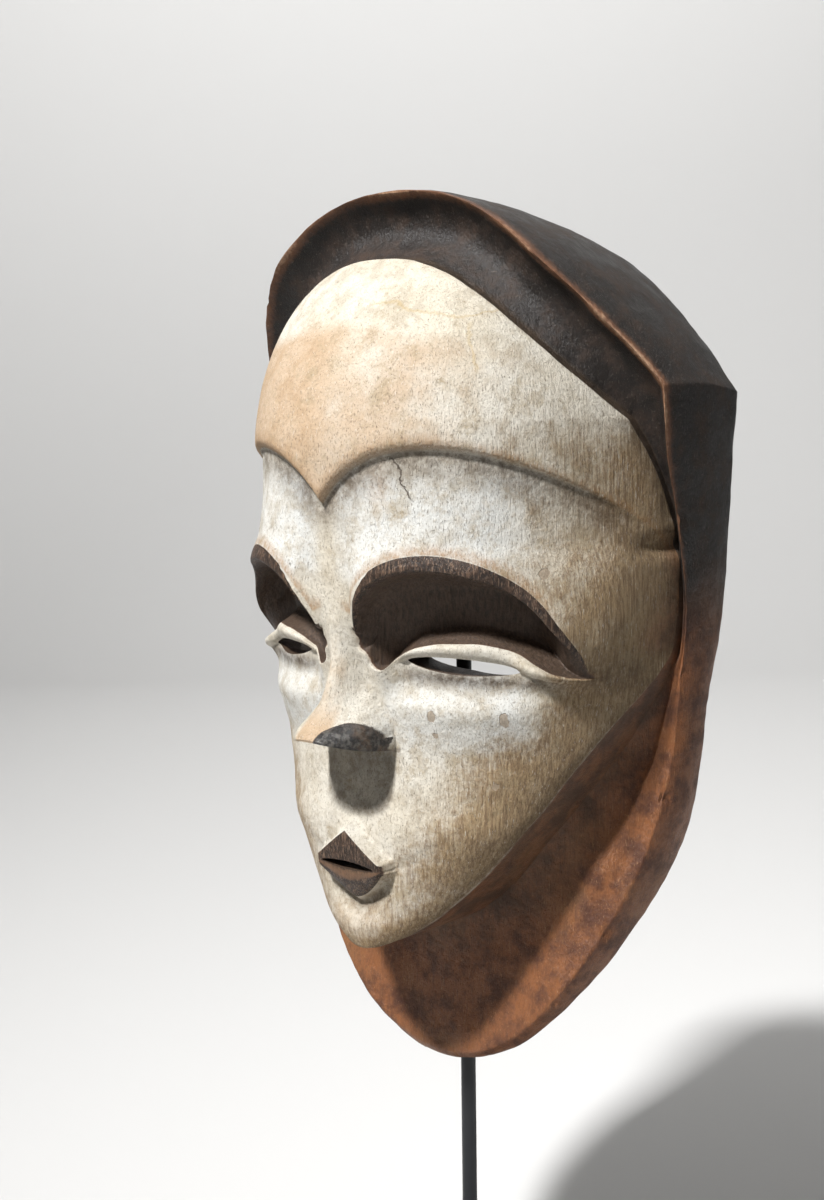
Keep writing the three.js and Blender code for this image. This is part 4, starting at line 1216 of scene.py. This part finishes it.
    # Height: what stands up from the surface, and what is sunk into it
    height = maths("MULTIPLY", speck, 0.5)
    reliefs = ((mottle, 0.35), (dots, -0.35), (fibre, 0.4), (flaked, -0.35), (split, -0.6),
               (maths("MULTIPLY", scar, mottle), 1.2), (ticks, -0.4))
    for pattern, share in reliefs:
        height = maths("ADD", height, maths("MULTIPLY", pattern, share))
    bump = make("Bump", Strength=0.8, Distance=1.4 * MM, Height=height)
    shader = make("BsdfPrincipled", Base_Color=surface, Roughness=rough, Normal=bump.outputs[0])
    make("OutputMaterial", Surface=shader.outputs[0])
    return material


def black_steel_material():
    material = plain_material("black_painted_steel")
    make = painter(material)
    where = make("TexCoord").outputs["Object"]
    fine = make("TexNoise", Vector=where, Scale=900, Detail=3).outputs["Fac"]
    broad = make("TexNoise", Vector=where, Scale=35, Detail=4).outputs["Fac"]
    tone = make("Mix", {"data_type": "RGBA"}, i0=broad, i6="black steel", i7="grey steel").outputs[2]
    rough = make("MapRange", Value=broad, From_Min=0.3, From_Max=0.7, To_Min=0.33, To_Max=0.47).outputs[0]
    bump = make("Bump", Strength=0.12, Distance=0.4 * MM, Height=fine)
    shader = make("BsdfPrincipled", Base_Color=tone, Metallic=0.35, Roughness=rough, Normal=bump.outputs[0])
    make("OutputMaterial", Surface=shader.outputs[0])
    return material


# The rod and the foot
def build_rod():
    """A circle drawn up, turned through the bend and drawn forward to the forehead."""
    low = FOOT_THICK + TOUCH_GAP
    bend_z = MASK_LIFT + ROD_ARM["z"] - ROD_BEND
    lean = math.radians(ROD_ARM["lean"])
    reach = (-ROD_BEND * (1 - math.cos(lean)) - ROD_ARM["tip_y"]) / math.sin(lean)
    forward = Vector((0, -math.sin(lean), math.cos(lean))) * reach * MM
    bpy.ops.mesh.primitive_circle_add(vertices=40, radius=ROD_RADIUS * MM, fill_type="NGON",
                                      location=(0, 0, low * MM))
    rod = bpy.context.object
    rod.name = "steel_rod"
    edit_all()
    bpy.ops.mesh.extrude_region_move(TRANSFORM_OT_translate={"value": (0, 0, (bend_z - low) * MM)})
    bpy.ops.mesh.spin(steps=18, angle=lean, center=(0, -ROD_BEND * MM, bend_z * MM), axis=(1, 0, 0))
    bpy.ops.mesh.extrude_region_move(TRANSFORM_OT_translate={"value": forward})
    bpy.ops.object.mode_set(mode="OBJECT")
    close_up(rod)
    finish_steel(rod)
    return rod


def finish_steel(piece):
    pick(piece)
    bpy.ops.object.transform_apply(location=True, rotation=True, scale=True)
    bpy.ops.object.shade_smooth_by_angle(angle=math.radians(STEEL_EDGE_ANGLE))
    piece.data.materials.append(steel)


def build_foot():
    size = Vector((FOOT_SIDE, FOOT_SIDE, FOOT_THICK)) * MM
    bpy.ops.mesh.primitive_cube_add(size=1, location=(0, 0, size.z / 2), scale=size)
    foot = bpy.context.object
    foot.name = "square_foot"
    bpy.ops.object.transform_apply(location=True, rotation=True, scale=True)
    bevel = foot.modifiers.new("edges", "BEVEL")
    bevel.width = MM
    bevel.segments = 3
    bpy.ops.object.modifier_apply(modifier=bevel.name)
    finish_steel(foot)
    return foot


steel = black_steel_material()
mask = build_mask()
mask.data.materials.append(wood_mask_material())
rod = build_rod()
foot = build_foot()
pieces = (
    (mask, "mask", "mask_wood"),
    (rod, "support_rod", "rod_steel"),
    (foot, "foot_plate", "foot_steel"),
)
for piece, node, slot in pieces:
    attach(piece, "root")
    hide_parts(node)


# A pale floor that sweeps up behind, soft studio light, and a camera at three quarters from the mask's left.
# The floor and the lights are in metres. A light is its spot, target, watts, side, and spread in degrees.
FLOOR = {"side": 6, "wall": 4, "bend": 1, "forward": 1.3}
MIDDLE = (0, 0, 0.3)
LIGHTS = {
    "key": ((-0.02, -1.35, 1.85), MIDDLE, 7.4, 0.2, 60),
    "fill": ((1.4, -1.1, 0.9), MIDDLE, 1, 1.2, 180),
    "back": ((0.9, 1.2, 1.3), MIDDLE, 2, 0.9, 180),
    "backdrop": ((-0.6, 0.5, 2.2), (-1.3, 1.5, 0.9), 24, 1.8, 130),
}
SKY_STRENGTH = 0.1


def build_floor():
    """A wide sheet, square to the camera, whose far edge is drawn up into a wall with a round bend."""
    bpy.ops.object.select_all(action="DESELECT")
    bpy.ops.mesh.primitive_plane_add(size=FLOOR["side"])
    floor = bpy.context.object
    floor.name = "studio_floor"
    bpy.ops.object.mode_set(mode="EDIT")
    mesh = bmesh.from_edit_mesh(floor.data)
    for edge in mesh.edges:
        edge.select_set(all(vertex.co.y > 0 for vertex in edge.verts))
    bpy.ops.mesh.extrude_region_move(TRANSFORM_OT_translate={"value": (0, 0, FLOOR["wall"])})
    mesh = bmesh.from_edit_mesh(floor.data)
    for edge in mesh.edges:
        edge.select_set(all(vertex.co.y > 0 and abs(vertex.co.z) < MM for vertex in edge.verts))
    bpy.ops.mesh.bevel(offset=FLOOR["bend"], segments=24)
    bpy.ops.mesh.select_all(action="SELECT")
    bpy.ops.transform.translate(value=(0, -FLOOR["forward"], 0))
    bpy.ops.transform.rotate(value=math.radians(-VIEW_TURN), orient_axis="Z", center_override=(0, 0, 0))
    bpy.ops.object.mode_set(mode="OBJECT")
    bpy.ops.object.shade_smooth()
    material = plain_material("pale_floor")
    shader = material.node_tree.nodes["Principled BSDF"]
    shader.inputs["Base Color"].default_value = colour("pale floor")
    shader.inputs["Roughness"].default_value = 0.9
    floor.data.materials.append(material)


def soft_light(name, spot, target, power, side, spread):
    data = bpy.data.lights.new(name, "AREA")
    data.energy = power
    data.size = side
    data.spread = math.radians(spread)
    light = bpy.data.objects.new(name, data)
    bpy.context.collection.objects.link(light)
    light.location = spot
    light.rotation_euler = (Vector(target) - Vector(spot)).to_track_quat("-Z", "Y").to_euler()


def build_sky():
    world = bpy.data.worlds.new("studio")
    world.use_nodes = True
    background = world.node_tree.nodes["Background"]
    background.inputs["Color"].default_value = colour("daylight")
    background.inputs["Strength"].default_value = SKY_STRENGTH
    bpy.context.scene.world = world


def build_camera():
    """The camera looks slightly down, by the height of the picture's middle under its level row."""
    turn, roll = math.radians(VIEW_TURN), math.radians(VIEW_ROLL)
    pitch = math.atan((PICTURE["height"] / 2 - PICTURE["level_row"]) / PICTURE["focal"])
    level = Vector((-math.sin(turn), math.cos(turn), 0))
    right_level = Vector((math.cos(turn), math.sin(turn), 0))
    forward = level * math.cos(pitch) - Vector((0, 0, 1)) * math.sin(pitch)
    up = Vector((0, 0, 1)) * math.cos(pitch) + level * math.sin(pitch)
    right = right_level * math.cos(roll) - up * math.sin(roll)
    up = right_level * math.sin(roll) + up * math.cos(roll)
    data = bpy.data.cameras.new("camera")
    data.sensor_fit = "VERTICAL"
    data.sensor_height = SENSOR
    data.lens = SENSOR * PICTURE["focal"] / PICTURE["height"]
    data.clip_start = 0.01
    camera = bpy.data.objects.new("camera", data)
    bpy.context.collection.objects.link(camera)
    spot = Vector((VIEW_SPOT["x"], VIEW_SPOT["y"], VIEW_SPOT["z"] + MASK_LIFT)) * MM
    columns = (right, up, -forward)
    turned = Matrix([[axis[i] for axis in columns] for i in range(3)]).to_4x4()
    camera.matrix_world = Matrix.Translation(spot) @ turned
    bpy.context.scene.camera = camera


build_floor()
for name, setting in LIGHTS.items():
    soft_light(name, *setting)
build_sky()
build_camera()
bpy.context.scene.view_settings.view_transform = "Standard"
